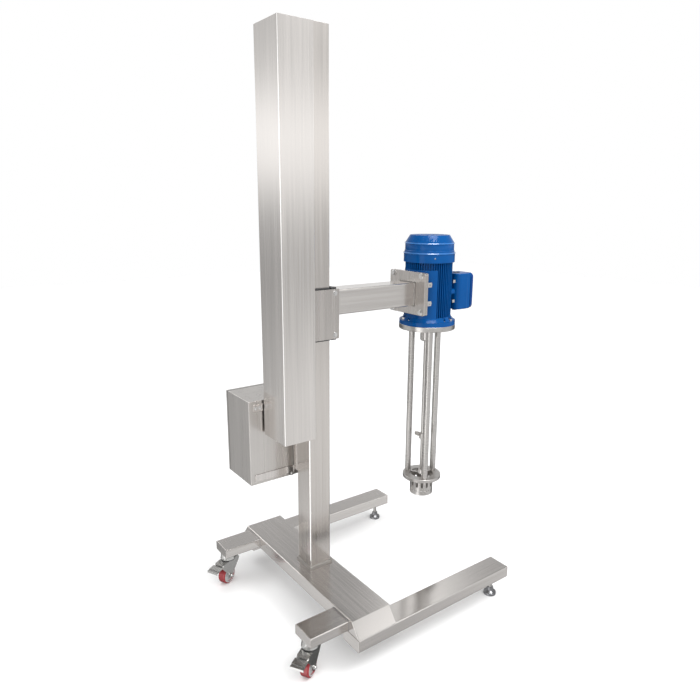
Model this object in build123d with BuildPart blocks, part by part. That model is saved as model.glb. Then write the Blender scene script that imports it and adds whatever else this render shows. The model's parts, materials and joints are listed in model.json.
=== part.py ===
from build123d import *
import math
import os

os.makedirs("parts", exist_ok=True)

# High shear mixer on a mobile lifting stand, millimetres.
# +X points forwards along the arm and the legs, +Y to the control box side, +Z up.
# The origin is on the floor under the middle of the whole outline.

# Clearances shared by all fits
seat_gap = 0.3
running_fit = 0.05
bolt_clearance = 0.5

# Column
column_size = 100
column_wall = 4
column_corner = 7
column_top = 2310
cap_thickness = 5
collar_size = 113
collar_thickness = 10
cable_hole = 40

# Base beam and legs
beam_behind = 108
beam_width = 180
beam_bottom = 140
beam_height = 56
beam_half_top = 423
beam_half_bottom = 467
beam_wall = 5
beam_edge = 3
tube_corner = 4
leg_width = 100
leg_height = 50
leg_wall = 3
leg_reach = 714
stub_width = 106
stub_height = 40
stub_wall = 3
stub_reach = 277
stub_middle = 351
stub_lift = 6
end_plate = 3

# Mast cover
cover_behind = 181
cover_ahead = -39
cover_width = 168
cover_sheet = 2
cover_corner = 4
cover_hem = 10
cover_bottom = 789
cover_top = 2300

# Lift drive inside the cover
screw_behind = 121
screw_radius = 12
journal_radius = 8
journal_length = 18
drive_size = 88
drive_corner = 8
drive_can_radius = 42
drive_can_height = 88
gearbox_height = 58
base_plate_bottom = 800
base_plate_thickness = 12
bearing_height = 26
bearing_width = 90
bearing_top = 2286

# Carriage
carriage_bottom = 1180
carriage_height = 196
carriage_plate = 8
side_gap = 10
front_gap = 23
rear_gap = 10
pad_height = 52
pad_proud = 6
pad_width = 84
pad_bolt_radius = 5
pad_head_radius = 8
pad_head_height = 5
nut_width = 56
nut_height = 60
nut_below_top = 20
nut_behind_screw = 25

# Arm and bracket
arm_size = 100
arm_wall = 4
arm_corner = 6
arm_drop = 6
motor_standoff = 126
bracket_width = 226
bracket_height = 184
bracket_plate = 10
bracket_corner = 9
bracket_bolt_y = 180
bracket_bolt_z = 156
bracket_bolt_radius = 6
bracket_head_radius = 11
bracket_head_height = 8

# Motor
motor_reach = 614
motor_body_radius = 92
motor_fin_radius = 104
motor_fin_count = 60
motor_fin_width = 2.6
jacket_half_angle = 69
jacket_top = 1420
motor_bottom = 1175
flange_radius = 125
flange_thickness = 18
flange_bolt_circle = 107.5
flange_bolt_angles = (115, 155, 295, 335)
flange_bolt_radius = 6
flange_head_radius = 11
flange_head_height = 9
bolt_pocket_radius = 14
shield_screw_angles = (0, 90, 180, 270)
shield_screw_radius = 2.5
shield_head_radius = 5
shield_head_height = 5
shield_screw_depth = 12
shield_pocket_radius = 7
shield_height = 37
skirt_radius = 116
fin_top = 1453
jacket_radius = 105.5
foot_height = 22
foot_outer = 110
foot_inner = 62
foot_thickness = 24
foot_bolt_y = 96
foot_bolt_spacing = 80
foot_dimple_radius = 3.5
foot_dimple_depth = 6
foot_bolt_radius = 5
foot_head_radius = 9.5
foot_head_height = 8
rotor_core_radius = 56
rotor_air_gap = 0.8
rotor_core_bottom = 1240
rotor_core_height = 160
motor_shaft_radius = 14
motor_shaft_top = 1513
motor_shaft_bottom = 1122

# Fan cowl and fan
cowl_radius = 112
cowl_neck_radius = 109
cowl_wall_radius = 107
cowl_top_radius = 87
cowl_bottom = 1461
cowl_band_top = 1491
cowl_step = 1501
cowl_shoulder = 1534
cowl_top = 1567
cowl_sheet = 2
cowl_skirt = 10
cowl_lug_width = 14
vent_radius = 5
vent_rings = 3
vent_pitch = 20
vents_in_first_ring = 6
fan_bottom = 1479
fan_height = 30
fan_radius = 88
fan_hub_radius = 26
fan_blades = 7
fan_blade_thickness = 3

# Terminal box
neck_half_width = 40
neck_height = 126
box_start = 130
box_depth = 84
box_half_width = 56
box_height = 164
box_corner = 26
box_middle = 1310
lid_depth = 18
lid_corner = 20

# Mixing tool
tool_flange_radius = 126
tool_flange_thickness = 22
hub_radius = 27.5
hub_length = 60
hub_bore = 21
sleeve_radius = 20
sleeve_bottom = 1098
shaft_radius = 10
rod_radius = 13.5
rod_circle = 70
rod_phase = -1
rod_count = 3
ring_radius = 90
ring_inner = 54
ring_thickness = 16
ring_top = 441
ring_hub_radius = 22
bush_top_radius = 15
bush_rise = 20
ring_spoke = 14
stator_radius = 54
stator_wall = 4
stator_flange_radius = 74
stator_flange = 7
stator_bottom = 345
slot_count = 14
slot_width = 10
slot_height = 26
slot_bottom = 384
slot_rounding = 1.5
hole_count = 28
hole_radius = 2.5
hole_level = 366
rotor_gap = 0.4
rotor_bottom = 352
rotor_height = 46
rotor_blades = 4
rotor_blade_thickness = 8
rotor_hub_radius = 18
propeller_height = 630
propeller_radius = 42
propeller_hub_radius = 17
propeller_hub_height = 26
propeller_blades = 3
propeller_pitch = 35
propeller_blade_width = 26
propeller_blade_thickness = 3

# Casters and levelling feet
swivel_behind = 246
caster_yaw = {"near": 32, "far": 26}
wheel_radius = 40
wheel_width = 36
wheel_trail = 14
tread_rounding = 6
wheel_boss_radius = 14
wheel_boss_width = 40
wheel_recess_outer = 28
wheel_recess_depth = 4
axle_radius = 6
cheek_gap = 20.8
cheek_thickness = 3
cheek_end_radius = 14
neck_top_radius = 29
neck_low_radius = 33
neck_height = 28
seal_radius = 31
seal_height = 4
crown_thickness = 5
crown_corner = 10
fork_front = 50
fork_skirt = 98
fork_chin = 38
fork_chin_height = 82
fork_rear = 66
fork_rear_height = 98
pedal_pivot_trail = 57
pedal_pivot_height = 100
pedal_pin_radius = 4
pedal_barrel_radius = 7
pedal_reach = 110
pedal_step_trail = 94
pedal_drop = 1
pedal_step = 3
pedal_lip = 6
pedal_thickness = 3
pedal_half_width = 27
pedal_neck = 14
axle_head_radius = 9
axle_head_height = 5
foot_behind_tip = 30
foot_pad_radius = 27
foot_pad_height = 13
foot_stud_radius = 6
foot_stud_top = 130
foot_nut_radius = 10
foot_nut_height = 8
foot_boss_radius = 12
foot_boss_height = 18

# Control box
case_behind = 242
case_width = 300
case_near = 95
case_depth = 193
case_bottom = 571
case_height = 359
case_sheet = 2
case_lip = 8
door_depth = 15
hinge_barrel_radius = 4
hinge_pin_radius = 1.8
hinge_offset = 4.6
hinge_barrel_length = 22
hinge_inset = 40
mount_strap = 4
mount_rail = 4
mount_rail_height = 30
mount_half_width = 30
mount_wall = 5
mount_web_height = 190
mount_web_lift = 19
mount_plate_width = 78
mount_plate_back = 4
mount_plate_inset = 9
mount_rail_inset = 29
lug_overhang = 18
panel_inset = 20
panel_thickness = 2
panel_standoff = 8
drive_unit_width = 105
drive_unit_height = 190
drive_unit_depth = 118
drive_unit_fins = 9
terminal_width = 96
terminal_height = 46
terminal_depth = 44
terminal_count = 5
terminal_pitch = 16
terminal_rail_height = 35
terminal_rail_depth = 7
terminal_drop = 70
contactor_width = 46
contactor_height = 74
contactor_depth = 72
contactor_rise = 40
device_spread = 62
gland_radius = 12
gland_length = 20

# Door controls
control_pitch = 62
control_row_high = 830
control_row_low = 745
bezel_radius = 15
bezel_height = 5
button_radius = 11
button_proud = 5
button_depth = 22
button_travel = 3
stem_radius = 6
mushroom_radius = 20
mushroom_height = 12
mushroom_travel = 6
knob_radius = 16
knob_height = 18
lock_radius = 11
lock_inset = 26
lock_height = 750
lock_tongue = 22

# Places worked out from the sizes above
column_half = column_size / 2
terminal_reach = motor_reach + box_start + box_depth + lid_depth
rear_yaw = math.radians(min(caster_yaw.values()))
pedal_reach_back = pedal_reach * math.cos(rear_yaw) + pedal_half_width * math.sin(rear_yaw)
rear_reach = swivel_behind + pedal_reach_back
mast_x = (rear_reach - terminal_reach) / 2
beam_rear = mast_x - beam_behind
beam_top = beam_bottom + beam_height
column_foot = beam_top + collar_thickness
leg_bottom = beam_bottom - leg_height
leg_y = beam_half_bottom - leg_width / 2
leg_front = mast_x + leg_reach
stub_bottom = beam_bottom + stub_lift
stub_rear = mast_x - stub_reach
swivel_x = mast_x - swivel_behind
foot_x = leg_front - foot_behind_tip - foot_pad_radius + 7
cover_rear = mast_x - cover_behind
cover_front = mast_x + cover_ahead
cover_back_wall = cover_rear + cover_sheet
screw_x = mast_x - screw_behind
column_rear = mast_x - column_half
column_front = mast_x + column_half
gearbox_bottom = base_plate_bottom + base_plate_thickness + drive_can_height
gearbox_top = gearbox_bottom + gearbox_height
bearing_bottom = bearing_top - bearing_height
carriage_top = carriage_bottom + carriage_height
side_plate_inner = column_half + side_gap
side_plate_outer = side_plate_inner + carriage_plate
front_plate_rear = column_front + front_gap
front_plate_front = front_plate_rear + carriage_plate
rear_plate_front = column_rear - rear_gap
rear_plate_rear = rear_plate_front - carriage_plate
arm_top = carriage_top - arm_drop
arm_middle = arm_top - arm_size / 2
bracket_x = mast_x + motor_reach - motor_standoff
bracket_middle = arm_middle + 3
motor_plate_x = bracket_x + bracket_plate
motor_face_x = motor_plate_x + bracket_plate
axis_x = mast_x + motor_reach
shield_top = motor_bottom + shield_height
flange_top = motor_bottom + flange_thickness
tool_flange_bottom = motor_bottom - tool_flange_thickness
hub_bottom = tool_flange_bottom - hub_length
ring_bottom = ring_top - ring_thickness
stator_top = ring_bottom
rotor_radius = stator_radius - stator_wall - rotor_gap
neck_start = motor_body_radius - 6
box_front = axis_x + box_start + box_depth
case_rear = mast_x - case_behind
case_front = case_rear + case_width
case_far = case_near + case_depth
case_top = case_bottom + case_height
case_x = (case_rear + case_front) / 2
case_z = (case_bottom + case_top) / 2
door_near = case_far + seat_gap
door_far = door_near + door_depth
hinge_x = case_front + hinge_offset
hinge_y = case_far + seat_gap / 2
panel_y = case_near + case_sheet + panel_standoff

axis_point = (axis_x, 0)


def round_the_motor(degrees):
    """A point on the flange's bolt circle."""
    turn = math.radians(degrees)
    return (axis_x + flange_bolt_circle * math.cos(turn), flange_bolt_circle * math.sin(turn))


flange_bolts_at = [round_the_motor(degrees) for degrees in flange_bolt_angles]
shield_screws_at = [round_the_motor(degrees) for degrees in shield_screw_angles]
screw_point = (screw_x, 0)


def far_plane(y):
    """Upright plane at y, drawn with X to the right and Z up, facing +Y's back."""
    return Plane(origin=(0, y, 0), x_dir=(1, 0, 0), z_dir=(0, -1, 0))


# Column: a square tube with a welded cap above and a welded foot flange below
with BuildPart() as column:
    with BuildSketch(Plane.XY.offset(beam_top)):
        with Locations((mast_x, 0)):
            RectangleRounded(collar_size, collar_size, column_corner)
            Circle(cable_hole / 2, mode=Mode.SUBTRACT)
    extrude(amount=collar_thickness)
    chamfer(column.edges().group_by(Axis.Z)[-1].filter_by(GeomType.LINE), 2)
    with BuildSketch(Plane.XY.offset(column_foot)):
        with Locations((mast_x, 0)):
            RectangleRounded(column_size, column_size, column_corner)
            inner = column_size - 2 * column_wall
            RectangleRounded(inner, inner, column_corner - column_wall, mode=Mode.SUBTRACT)
    extrude(amount=column_top - column_foot)
    with BuildSketch(Plane.XY.offset(column_top - cap_thickness)):
        with Locations((mast_x, 0)):
            RectangleRounded(column_size, column_size, column_corner)
    extrude(amount=cap_thickness)
    chamfer(column.faces().sort_by(Axis.Z)[-1].edges(), 1)
column.part.label = "column"
export_step(column.part, "parts/column.step")

# Cross beam: a folded box whose ends slope down to the legs
with BuildPart() as base_beam:
    with BuildSketch(Plane.YZ.offset(beam_rear)):
        with BuildLine():
            Polyline(
                (-beam_half_bottom, beam_bottom),
                (beam_half_bottom, beam_bottom),
                (beam_half_top, beam_top),
                (-beam_half_top, beam_top),
                close=True,
            )
        make_face()
    extrude(amount=beam_width)
    top_edges = base_beam.edges().filter_by(Axis.Y).group_by(Axis.Z)[-1]
    fillet(top_edges, beam_edge)
    with BuildSketch(Plane.YZ.offset(beam_rear + beam_wall)):
        with BuildLine():
            Polyline(
                (-beam_half_bottom, beam_bottom),
                (beam_half_bottom, beam_bottom),
                (beam_half_top, beam_top),
                (-beam_half_top, beam_top),
                close=True,
            )
        make_face()
        offset(amount=-beam_wall, kind=Kind.INTERSECTION, mode=Mode.REPLACE)
    extrude(amount=beam_width - 2 * beam_wall, mode=Mode.SUBTRACT)
    with BuildSketch(Plane.XY.offset(beam_bottom)):
        with Locations((mast_x, 0)):
            Circle(cable_hole / 2)
    extrude(amount=beam_height, mode=Mode.SUBTRACT)
base_beam.part.label = "base_beam"
export_step(base_beam.part, "parts/base_beam.step")

sides = {"near": -1, "far": 1}

# Front legs: flat tubes under the beam's ends, with a threaded boss for each levelling foot
for side, sign in sides.items():
    with BuildPart() as front_leg:
        with BuildSketch(Plane.YZ.offset(beam_rear + end_plate)):
            with Locations((sign * leg_y, leg_bottom + leg_height / 2)):
                RectangleRounded(leg_width, leg_height, tube_corner)
                RectangleRounded(leg_width - 2 * leg_wall, leg_height - 2 * leg_wall, 1, mode=Mode.SUBTRACT)
        extrude(amount=leg_front - beam_rear - 2 * end_plate)
        with BuildSketch(Plane.XY.offset(leg_bottom + leg_wall / 2)):
            with Locations((foot_x, sign * leg_y)):
                Circle(foot_boss_radius)
        extrude(amount=foot_boss_height)
        with BuildSketch(Plane.XY.offset(leg_bottom)):
            with Locations((foot_x, sign * leg_y)):
                Circle(foot_stud_radius + running_fit)
        extrude(amount=leg_height / 2, mode=Mode.SUBTRACT)
    front_leg.part.label = f"front_leg_{side}"
    export_step(front_leg.part, f"parts/front_leg_{side}.step")

# Rear stubs that carry the casters
with BuildPart() as rear_stubs:
    with BuildSketch(Plane.YZ.offset(stub_rear + end_plate)):
        with Locations((0, stub_bottom + stub_height / 2)):
            with GridLocations(2 * stub_middle, 0, 2, 1):
                RectangleRounded(stub_width, stub_height, tube_corner)
                RectangleRounded(stub_width - 2 * stub_wall, stub_height - 2 * stub_wall, 1, mode=Mode.SUBTRACT)
    extrude(amount=beam_rear - stub_rear - end_plate)
rear_stubs.part.label = "rear_stubs"
export_step(rear_stubs.part, "parts/rear_stubs.step")

# Welded plates that close the open ends of the legs and stubs
with BuildPart() as end_plates:
    for leg_end in (beam_rear, leg_front - end_plate):
        with BuildSketch(Plane.YZ.offset(leg_end)):
            with Locations((-leg_y, leg_bottom + leg_height / 2), (leg_y, leg_bottom + leg_height / 2)):
                RectangleRounded(leg_width, leg_height, tube_corner)
        extrude(amount=end_plate)
    with BuildSketch(Plane.YZ.offset(stub_rear)):
        with Locations((-stub_middle, stub_bottom + stub_height / 2), (stub_middle, stub_bottom + stub_height / 2)):
            RectangleRounded(stub_width, stub_height, tube_corner)
    extrude(amount=end_plate)
end_plates.part.label = "end_plates"
export_step(end_plates.part, "parts/end_plates.step")

# Mast cover: one folded sheet, open at the front and below, with a welded top
with BuildPart() as mast_cover:
    cover_depth = cover_front - cover_rear
    cover_x = (cover_front + cover_rear) / 2
    with BuildSketch(Plane.XY.offset(cover_bottom)):
        with Locations((cover_x, 0)):
            RectangleRounded(cover_depth, cover_width, cover_corner)
            RectangleRounded(
                cover_depth - 2 * cover_sheet,
                cover_width - 2 * cover_sheet,
                cover_corner - cover_sheet,
                mode=Mode.SUBTRACT,
            )
        with Locations((cover_front, 0)):
            Rectangle(4 * cover_sheet, cover_width - 2 * cover_hem, mode=Mode.SUBTRACT)
    extrude(amount=cover_top - cover_bottom)
    with BuildSketch(Plane.XY.offset(cover_top - cover_sheet)):
        with Locations((cover_x, 0)):
            RectangleRounded(cover_depth, cover_width, cover_corner)
        with Locations((mast_x, 0)):
            notch = column_size + 2 * seat_gap
            Rectangle(notch, notch, mode=Mode.SUBTRACT)
    extrude(amount=cover_sheet)
mast_cover.part.label = "mast_cover"
export_step(mast_cover.part, "parts/mast_cover.step")

# Lower plate that carries the lift drive and closes the gap between column and cover
with BuildPart() as drive_plate:
    plate_length = column_rear - cover_back_wall
    with BuildSketch(Plane.XY.offset(base_plate_bottom)):
        with Locations((cover_back_wall + plate_length / 2, 0)):
            Rectangle(plate_length, bearing_width)
    extrude(amount=base_plate_thickness)
drive_plate.part.label = "drive_plate"
export_step(drive_plate.part, "parts/drive_plate.step")

# Lift drive: a round motor can under a square gearbox
with BuildPart() as lift_gearmotor:
    with BuildSketch(Plane.XY.offset(base_plate_bottom + base_plate_thickness)):
        with Locations(screw_point):
            Circle(drive_can_radius)
    extrude(amount=drive_can_height)
    with BuildSketch(Plane.XY.offset(gearbox_bottom)):
        with Locations(screw_point):
            RectangleRounded(drive_size, drive_size, drive_corner)
    extrude(amount=gearbox_height)
    with BuildSketch(Plane.XY.offset(gearbox_top)):
        with Locations(screw_point):
            Circle(journal_radius + running_fit)
    extrude(amount=-journal_length - 2, mode=Mode.SUBTRACT)
lift_gearmotor.part.label = "lift_gearmotor"
export_step(lift_gearmotor.part, "parts/lift_gearmotor.step")

# Upper bearing block of the lead screw
with BuildPart() as screw_bearing:
    with BuildSketch(Plane.XY.offset(bearing_bottom)):
        with Locations((cover_back_wall + plate_length / 2, 0)):
            Rectangle(plate_length, bearing_width)
        with Locations(screw_point):
            Circle(journal_radius + running_fit, mode=Mode.SUBTRACT)
    extrude(amount=bearing_height)
screw_bearing.part.label = "screw_bearing"
export_step(screw_bearing.part, "parts/screw_bearing.step")

# Lead screw with a turned journal at each end
with BuildPart() as lead_screw:
    screw_low = gearbox_top + seat_gap
    screw_high = bearing_bottom - seat_gap
    with BuildSketch(Plane.XY.offset(screw_low - journal_length)):
        with Locations(screw_point):
            Circle(journal_radius)
    extrude(amount=screw_high - screw_low + 2 * journal_length)
    with BuildSketch(Plane.XY.offset(screw_low)):
        with Locations(screw_point):
            Circle(screw_radius)
    extrude(amount=screw_high - screw_low)
lead_screw.part.label = "lead_screw"
export_step(lead_screw.part, "parts/lead_screw.step")

# Carriage: front and rear plates across the column
with BuildPart() as carriage_cross_plates:
    for plate_x in (front_plate_rear, rear_plate_rear):
        with BuildSketch(Plane.YZ.offset(plate_x)):
            with Locations((0, carriage_bottom + carriage_height / 2)):
                Rectangle(2 * side_plate_inner, carriage_height)
        extrude(amount=carriage_plate)
carriage_cross_plates.part.label = "carriage_cross_plates"
export_step(carriage_cross_plates.part, "parts/carriage_cross_plates.step")

# Carriage: side plates bolted to the pads and welded to the cross plates
side_length = front_plate_front - rear_plate_rear
side_x = (front_plate_front + rear_plate_rear) / 2
pad_low = carriage_bottom - pad_proud
pad_high = carriage_top + pad_proud - pad_height
pad_levels = (pad_low, pad_high)
front_bolt_x = column_front + front_gap / 2
bolt_low = carriage_bottom + 16
bolt_high = carriage_top - 16

with BuildPart() as carriage_side_plates:
    for sign in sides.values():
        with BuildSketch(far_plane(sign * side_plate_outer)):
            with Locations((side_x, carriage_bottom + carriage_height / 2)):
                RectangleRounded(side_length, carriage_height, 3)
            with Locations((front_bolt_x, bolt_low), (front_bolt_x, bolt_high)):
                Circle(pad_bolt_radius + bolt_clearance, mode=Mode.SUBTRACT)
        extrude(amount=sign * carriage_plate)
carriage_side_plates.part.label = "carriage_side_plates"
export_step(carriage_side_plates.part, "parts/carriage_side_plates.step")

# Guide pads: plastic blocks that slide on the four faces of the column
with BuildPart() as guide_pads:
    for level in pad_levels:
        with BuildSketch(Plane.XY.offset(level)):
            with Locations((front_plate_rear - (front_gap - seat_gap) / 2, 0)):
                Rectangle(front_gap - seat_gap, 2 * side_plate_inner - 2)
            with Locations((rear_plate_front + (rear_gap - seat_gap) / 2, 0)):
                Rectangle(rear_gap - seat_gap, pad_width)
            with Locations((mast_x, side_plate_inner - (side_gap - seat_gap) / 2)):
                Rectangle(pad_width, side_gap - seat_gap)
            with Locations((mast_x, -side_plate_inner + (side_gap - seat_gap) / 2)):
                Rectangle(pad_width, side_gap - seat_gap)
        extrude(amount=pad_height)
    for sign in sides.values():
        with BuildSketch(far_plane(sign * side_plate_inner)):
            with Locations((front_bolt_x, bolt_low), (front_bolt_x, bolt_high)):
                Circle(pad_bolt_radius + bolt_clearance)
        extrude(amount=sign * side_gap, mode=Mode.SUBTRACT)
guide_pads.part.label = "guide_pads"
export_step(guide_pads.part, "parts/guide_pads.step")

# Hexagon bolts that hold the front pads to the side plates
with BuildPart() as carriage_bolts:
    for sign in sides.values():
        with BuildSketch(far_plane(sign * side_plate_outer)):
            with Locations((front_bolt_x, bolt_low), (front_bolt_x, bolt_high)):
                RegularPolygon(pad_head_radius, 6)
        extrude(amount=-sign * pad_head_height)
        with BuildSketch(far_plane(sign * side_plate_outer)):
            with Locations((front_bolt_x, bolt_low), (front_bolt_x, bolt_high)):
                Circle(pad_bolt_radius)
        extrude(amount=sign * (carriage_plate + side_gap / 2))
carriage_bolts.part.label = "carriage_bolts"
export_step(carriage_bolts.part, "parts/carriage_bolts.step")

# Lead nut: a bronze block screwed to the rear plate
with BuildPart() as lead_nut:
    nut_rear = screw_x - nut_behind_screw
    with BuildSketch(Plane.XY.offset(carriage_top - nut_below_top - nut_height)):
        with Locations(((nut_rear + rear_plate_rear) / 2, 0)):
            RectangleRounded(rear_plate_rear - nut_rear, nut_width, 4)
        with Locations(screw_point):
            Circle(screw_radius + running_fit, mode=Mode.SUBTRACT)
    extrude(amount=nut_height)
lead_nut.part.label = "lead_nut"
export_step(lead_nut.part, "parts/lead_nut.step")

# Lifting arm: a square tube between the carriage and the bracket
with BuildPart() as lift_arm:
    with BuildSketch(Plane.YZ.offset(front_plate_front)):
        with Locations((0, arm_middle)):
            RectangleRounded(arm_size, arm_size, arm_corner)
            inner = arm_size - 2 * arm_wall
            RectangleRounded(inner, inner, arm_corner - arm_wall, mode=Mode.SUBTRACT)
    extrude(amount=bracket_x - front_plate_front)
lift_arm.part.label = "lift_arm"
export_step(lift_arm.part, "parts/lift_arm.step")

# Bracket: one plate welded to the arm and one bolted to the motor's feet
for plate_name, plate_x in (("arm_plate", bracket_x), ("motor_plate", motor_plate_x)):
    with BuildPart() as plate:
        with BuildSketch(Plane.YZ.offset(plate_x)):
            with Locations((0, bracket_middle)):
                RectangleRounded(bracket_width, bracket_height, bracket_corner)
                with GridLocations(bracket_bolt_y, bracket_bolt_z, 2, 2):
                    Circle(bracket_bolt_radius + bolt_clearance, mode=Mode.SUBTRACT)
        extrude(amount=bracket_plate)
        if plate_name == "motor_plate":
            with BuildSketch(Plane.YZ.offset(plate_x)):
                with Locations((0, bracket_middle)):
                    with GridLocations(2 * foot_bolt_y, foot_bolt_spacing, 2, 2):
                        Circle(foot_bolt_radius + bolt_clearance)
            extrude(amount=bracket_plate, mode=Mode.SUBTRACT)
    plate.part.label = plate_name
    export_step(plate.part, f"parts/{plate_name}.step")

# Bolts through both bracket plates, with a nut behind
with BuildPart() as bracket_bolts:
    for head_x in (bracket_x - bracket_head_height, motor_face_x):
        with BuildSketch(Plane.YZ.offset(head_x)):
            with Locations((0, bracket_middle)):
                with GridLocations(bracket_bolt_y, bracket_bolt_z, 2, 2):
                    RegularPolygon(bracket_head_radius, 6)
        extrude(amount=bracket_head_height)
    with BuildSketch(Plane.YZ.offset(bracket_x)):
        with Locations((0, bracket_middle)):
            with GridLocations(bracket_bolt_y, bracket_bolt_z, 2, 2):
                Circle(bracket_bolt_radius)
    extrude(amount=2 * bracket_plate)
bracket_bolts.part.label = "bracket_bolts"
export_step(bracket_bolts.part, "parts/bracket_bolts.step")

# Motor housing: finned barrel with two foot rails and a seat for the terminal box
with BuildPart() as motor_housing:
    with BuildSketch(Plane.XY.offset(shield_top)):
        with Locations(axis_point):
            Circle(motor_body_radius)
            fin_start = motor_body_radius - 2
            with PolarLocations((motor_fin_radius + fin_start) / 2, motor_fin_count):
                Rectangle(motor_fin_radius - fin_start, motor_fin_width)
    extrude(amount=fin_top - shield_top)
    # Smooth jacket on the side of the feet
    with BuildSketch(Plane.XY.offset(shield_top)):
        with BuildLine():
            jacket_from = 180 - jacket_half_angle
            outer_arc = CenterArc(axis_point, jacket_radius, jacket_from, 2 * jacket_half_angle)
            inner_arc = CenterArc(axis_point, fin_start, jacket_from, 2 * jacket_half_angle)
            Line(outer_arc @ 0, inner_arc @ 0)
            Line(outer_arc @ 1, inner_arc @ 1)
        make_face()
    extrude(amount=jacket_top - shield_top)
    # Machined seat that carries the terminal box neck
    with BuildSketch(Plane.YZ.offset(axis_x + neck_start)):
        with Locations((0, box_middle)):
            RectangleRounded(2 * neck_half_width, neck_height, 12)
    extrude(amount=box_start - neck_start)
    with BuildSketch(Plane.XY.offset(shield_top)):
        with Locations(axis_point):
            Circle(motor_shaft_radius + 2)
    extrude(amount=fin_top - shield_top, mode=Mode.SUBTRACT)
    with BuildSketch(Plane.XY.offset(rotor_core_bottom - 4)):
        with Locations(axis_point):
            Circle(rotor_core_radius + rotor_air_gap)
    extrude(amount=rotor_core_height + 8, mode=Mode.SUBTRACT)
motor_housing.part.label = "motor_housing"
export_step(motor_housing.part, "parts/motor_housing.step")

# Four cast feet: blocks saddled on the jacket and bolted to the bracket
with BuildPart() as motor_feet:
    foot_reach = foot_outer - foot_inner
    with BuildSketch(Plane.YZ.offset(motor_face_x)):
        with Locations((0, bracket_middle)):
            with GridLocations(foot_outer + foot_inner, foot_bolt_spacing, 2, 2):
                RectangleRounded(foot_reach, foot_height, 3)
            with GridLocations(2 * foot_bolt_y, foot_bolt_spacing, 2, 2):
                Circle(foot_bolt_radius + running_fit, mode=Mode.SUBTRACT)
    extrude(amount=foot_thickness)
    with BuildSketch(Plane.XY.offset(bracket_middle - bracket_height / 2)):
        with Locations(axis_point):
            Circle(jacket_radius)
    extrude(amount=bracket_height, mode=Mode.SUBTRACT)
    foot_levels = (bracket_middle - foot_bolt_spacing / 2, bracket_middle + foot_bolt_spacing / 2)
    for sign in sides.values():
        with BuildSketch(far_plane(sign * foot_outer)):
            for level in foot_levels:
                with Locations((motor_face_x + foot_thickness / 2, level)):
                    Circle(foot_dimple_radius)
        extrude(amount=sign * foot_dimple_depth, mode=Mode.SUBTRACT)
motor_feet.part.label = "motor_feet"
export_step(motor_feet.part, "parts/motor_feet.step")

# Drive end shield: the motor's mounting flange and its sloping skirt
with BuildPart() as drive_end_flange:
    with BuildSketch(Plane.XZ):
        with BuildLine():
            Polyline(
                (axis_x + motor_shaft_radius + running_fit, motor_bottom),
                (axis_x + flange_radius, motor_bottom),
                (axis_x + flange_radius, flange_top),
                (axis_x + skirt_radius, flange_top),
                (axis_x + jacket_radius, shield_top - 3),
                (axis_x + jacket_radius, shield_top),
                (axis_x + motor_shaft_radius + running_fit, shield_top),
                close=True,
            )
        make_face()
    revolve(axis=Axis((axis_x, 0, 0), (0, 0, 1)))
    with BuildSketch(Plane.XY.offset(motor_bottom)):
        with Locations(*flange_bolts_at):
            Circle(flange_bolt_radius + bolt_clearance)
    extrude(amount=flange_thickness, mode=Mode.SUBTRACT)
    # Pockets in the skirt for the bolt heads and the shield's own screws
    with BuildSketch(Plane.XY.offset(flange_top)):
        with Locations(*flange_bolts_at):
            Circle(bolt_pocket_radius)
        with Locations(*shield_screws_at):
            Circle(shield_pocket_radius)
    extrude(amount=shield_height, mode=Mode.SUBTRACT)
    with BuildSketch(Plane.XY.offset(flange_top)):
        with Locations(*shield_screws_at):
            Circle(shield_screw_radius + running_fit)
    extrude(amount=-shield_screw_depth, mode=Mode.SUBTRACT)
drive_end_flange.part.label = "drive_end_flange"
export_step(drive_end_flange.part, "parts/drive_end_flange.step")

# Fan cowl: pressed sheet with a stepped band, a sloping shoulder and round vents
with BuildPart() as fan_cowl:
    with BuildSketch(Plane.XZ):
        with BuildLine():
            Polyline(
                (axis_x + cowl_radius, cowl_bottom - cowl_skirt),
                (axis_x + cowl_radius, cowl_band_top),
                (axis_x + cowl_neck_radius, cowl_band_top + 5),
                (axis_x + cowl_neck_radius, cowl_step),
                (axis_x + cowl_wall_radius, cowl_step + cowl_sheet),
                (axis_x + cowl_wall_radius, cowl_shoulder),
                (axis_x + cowl_top_radius, cowl_top),
                (axis_x, cowl_top),
                (axis_x, cowl_top - cowl_sheet),
                (axis_x + cowl_top_radius - 1, cowl_top - cowl_sheet),
                (axis_x + cowl_wall_radius - cowl_sheet, cowl_shoulder - 1),
                (axis_x + cowl_wall_radius - cowl_sheet, cowl_band_top + 4),
                (axis_x + cowl_radius - cowl_sheet, cowl_band_top - 1),
                (axis_x + cowl_radius - cowl_sheet, cowl_bottom - cowl_skirt),
                close=True,
            )
        make_face()
    revolve(axis=Axis((axis_x, 0, 0), (0, 0, 1)))
    with BuildSketch(Plane.XY.offset(cowl_top)):
        with Locations(axis_point):
            Circle(vent_radius)
            for ring in range(1, vent_rings + 1):
                with PolarLocations(ring * vent_pitch, ring * vents_in_first_ring):
                    Circle(vent_radius)
    extrude(amount=-2 * cowl_sheet, mode=Mode.SUBTRACT)
    # Four lugs inside the band hold the cowl on the barrel's fins
    with BuildSketch(Plane.XY.offset(cowl_bottom - cowl_skirt)):
        with Locations(axis_point):
            lug_depth = cowl_radius - 1 - motor_fin_radius - seat_gap
            with PolarLocations(motor_fin_radius + seat_gap + lug_depth / 2, 4, start_angle=45):
                Rectangle(lug_depth, cowl_lug_width)
    extrude(amount=cowl_skirt)
fan_cowl.part.label = "fan_cowl"
export_step(fan_cowl.part, "parts/fan_cowl.step")

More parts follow.
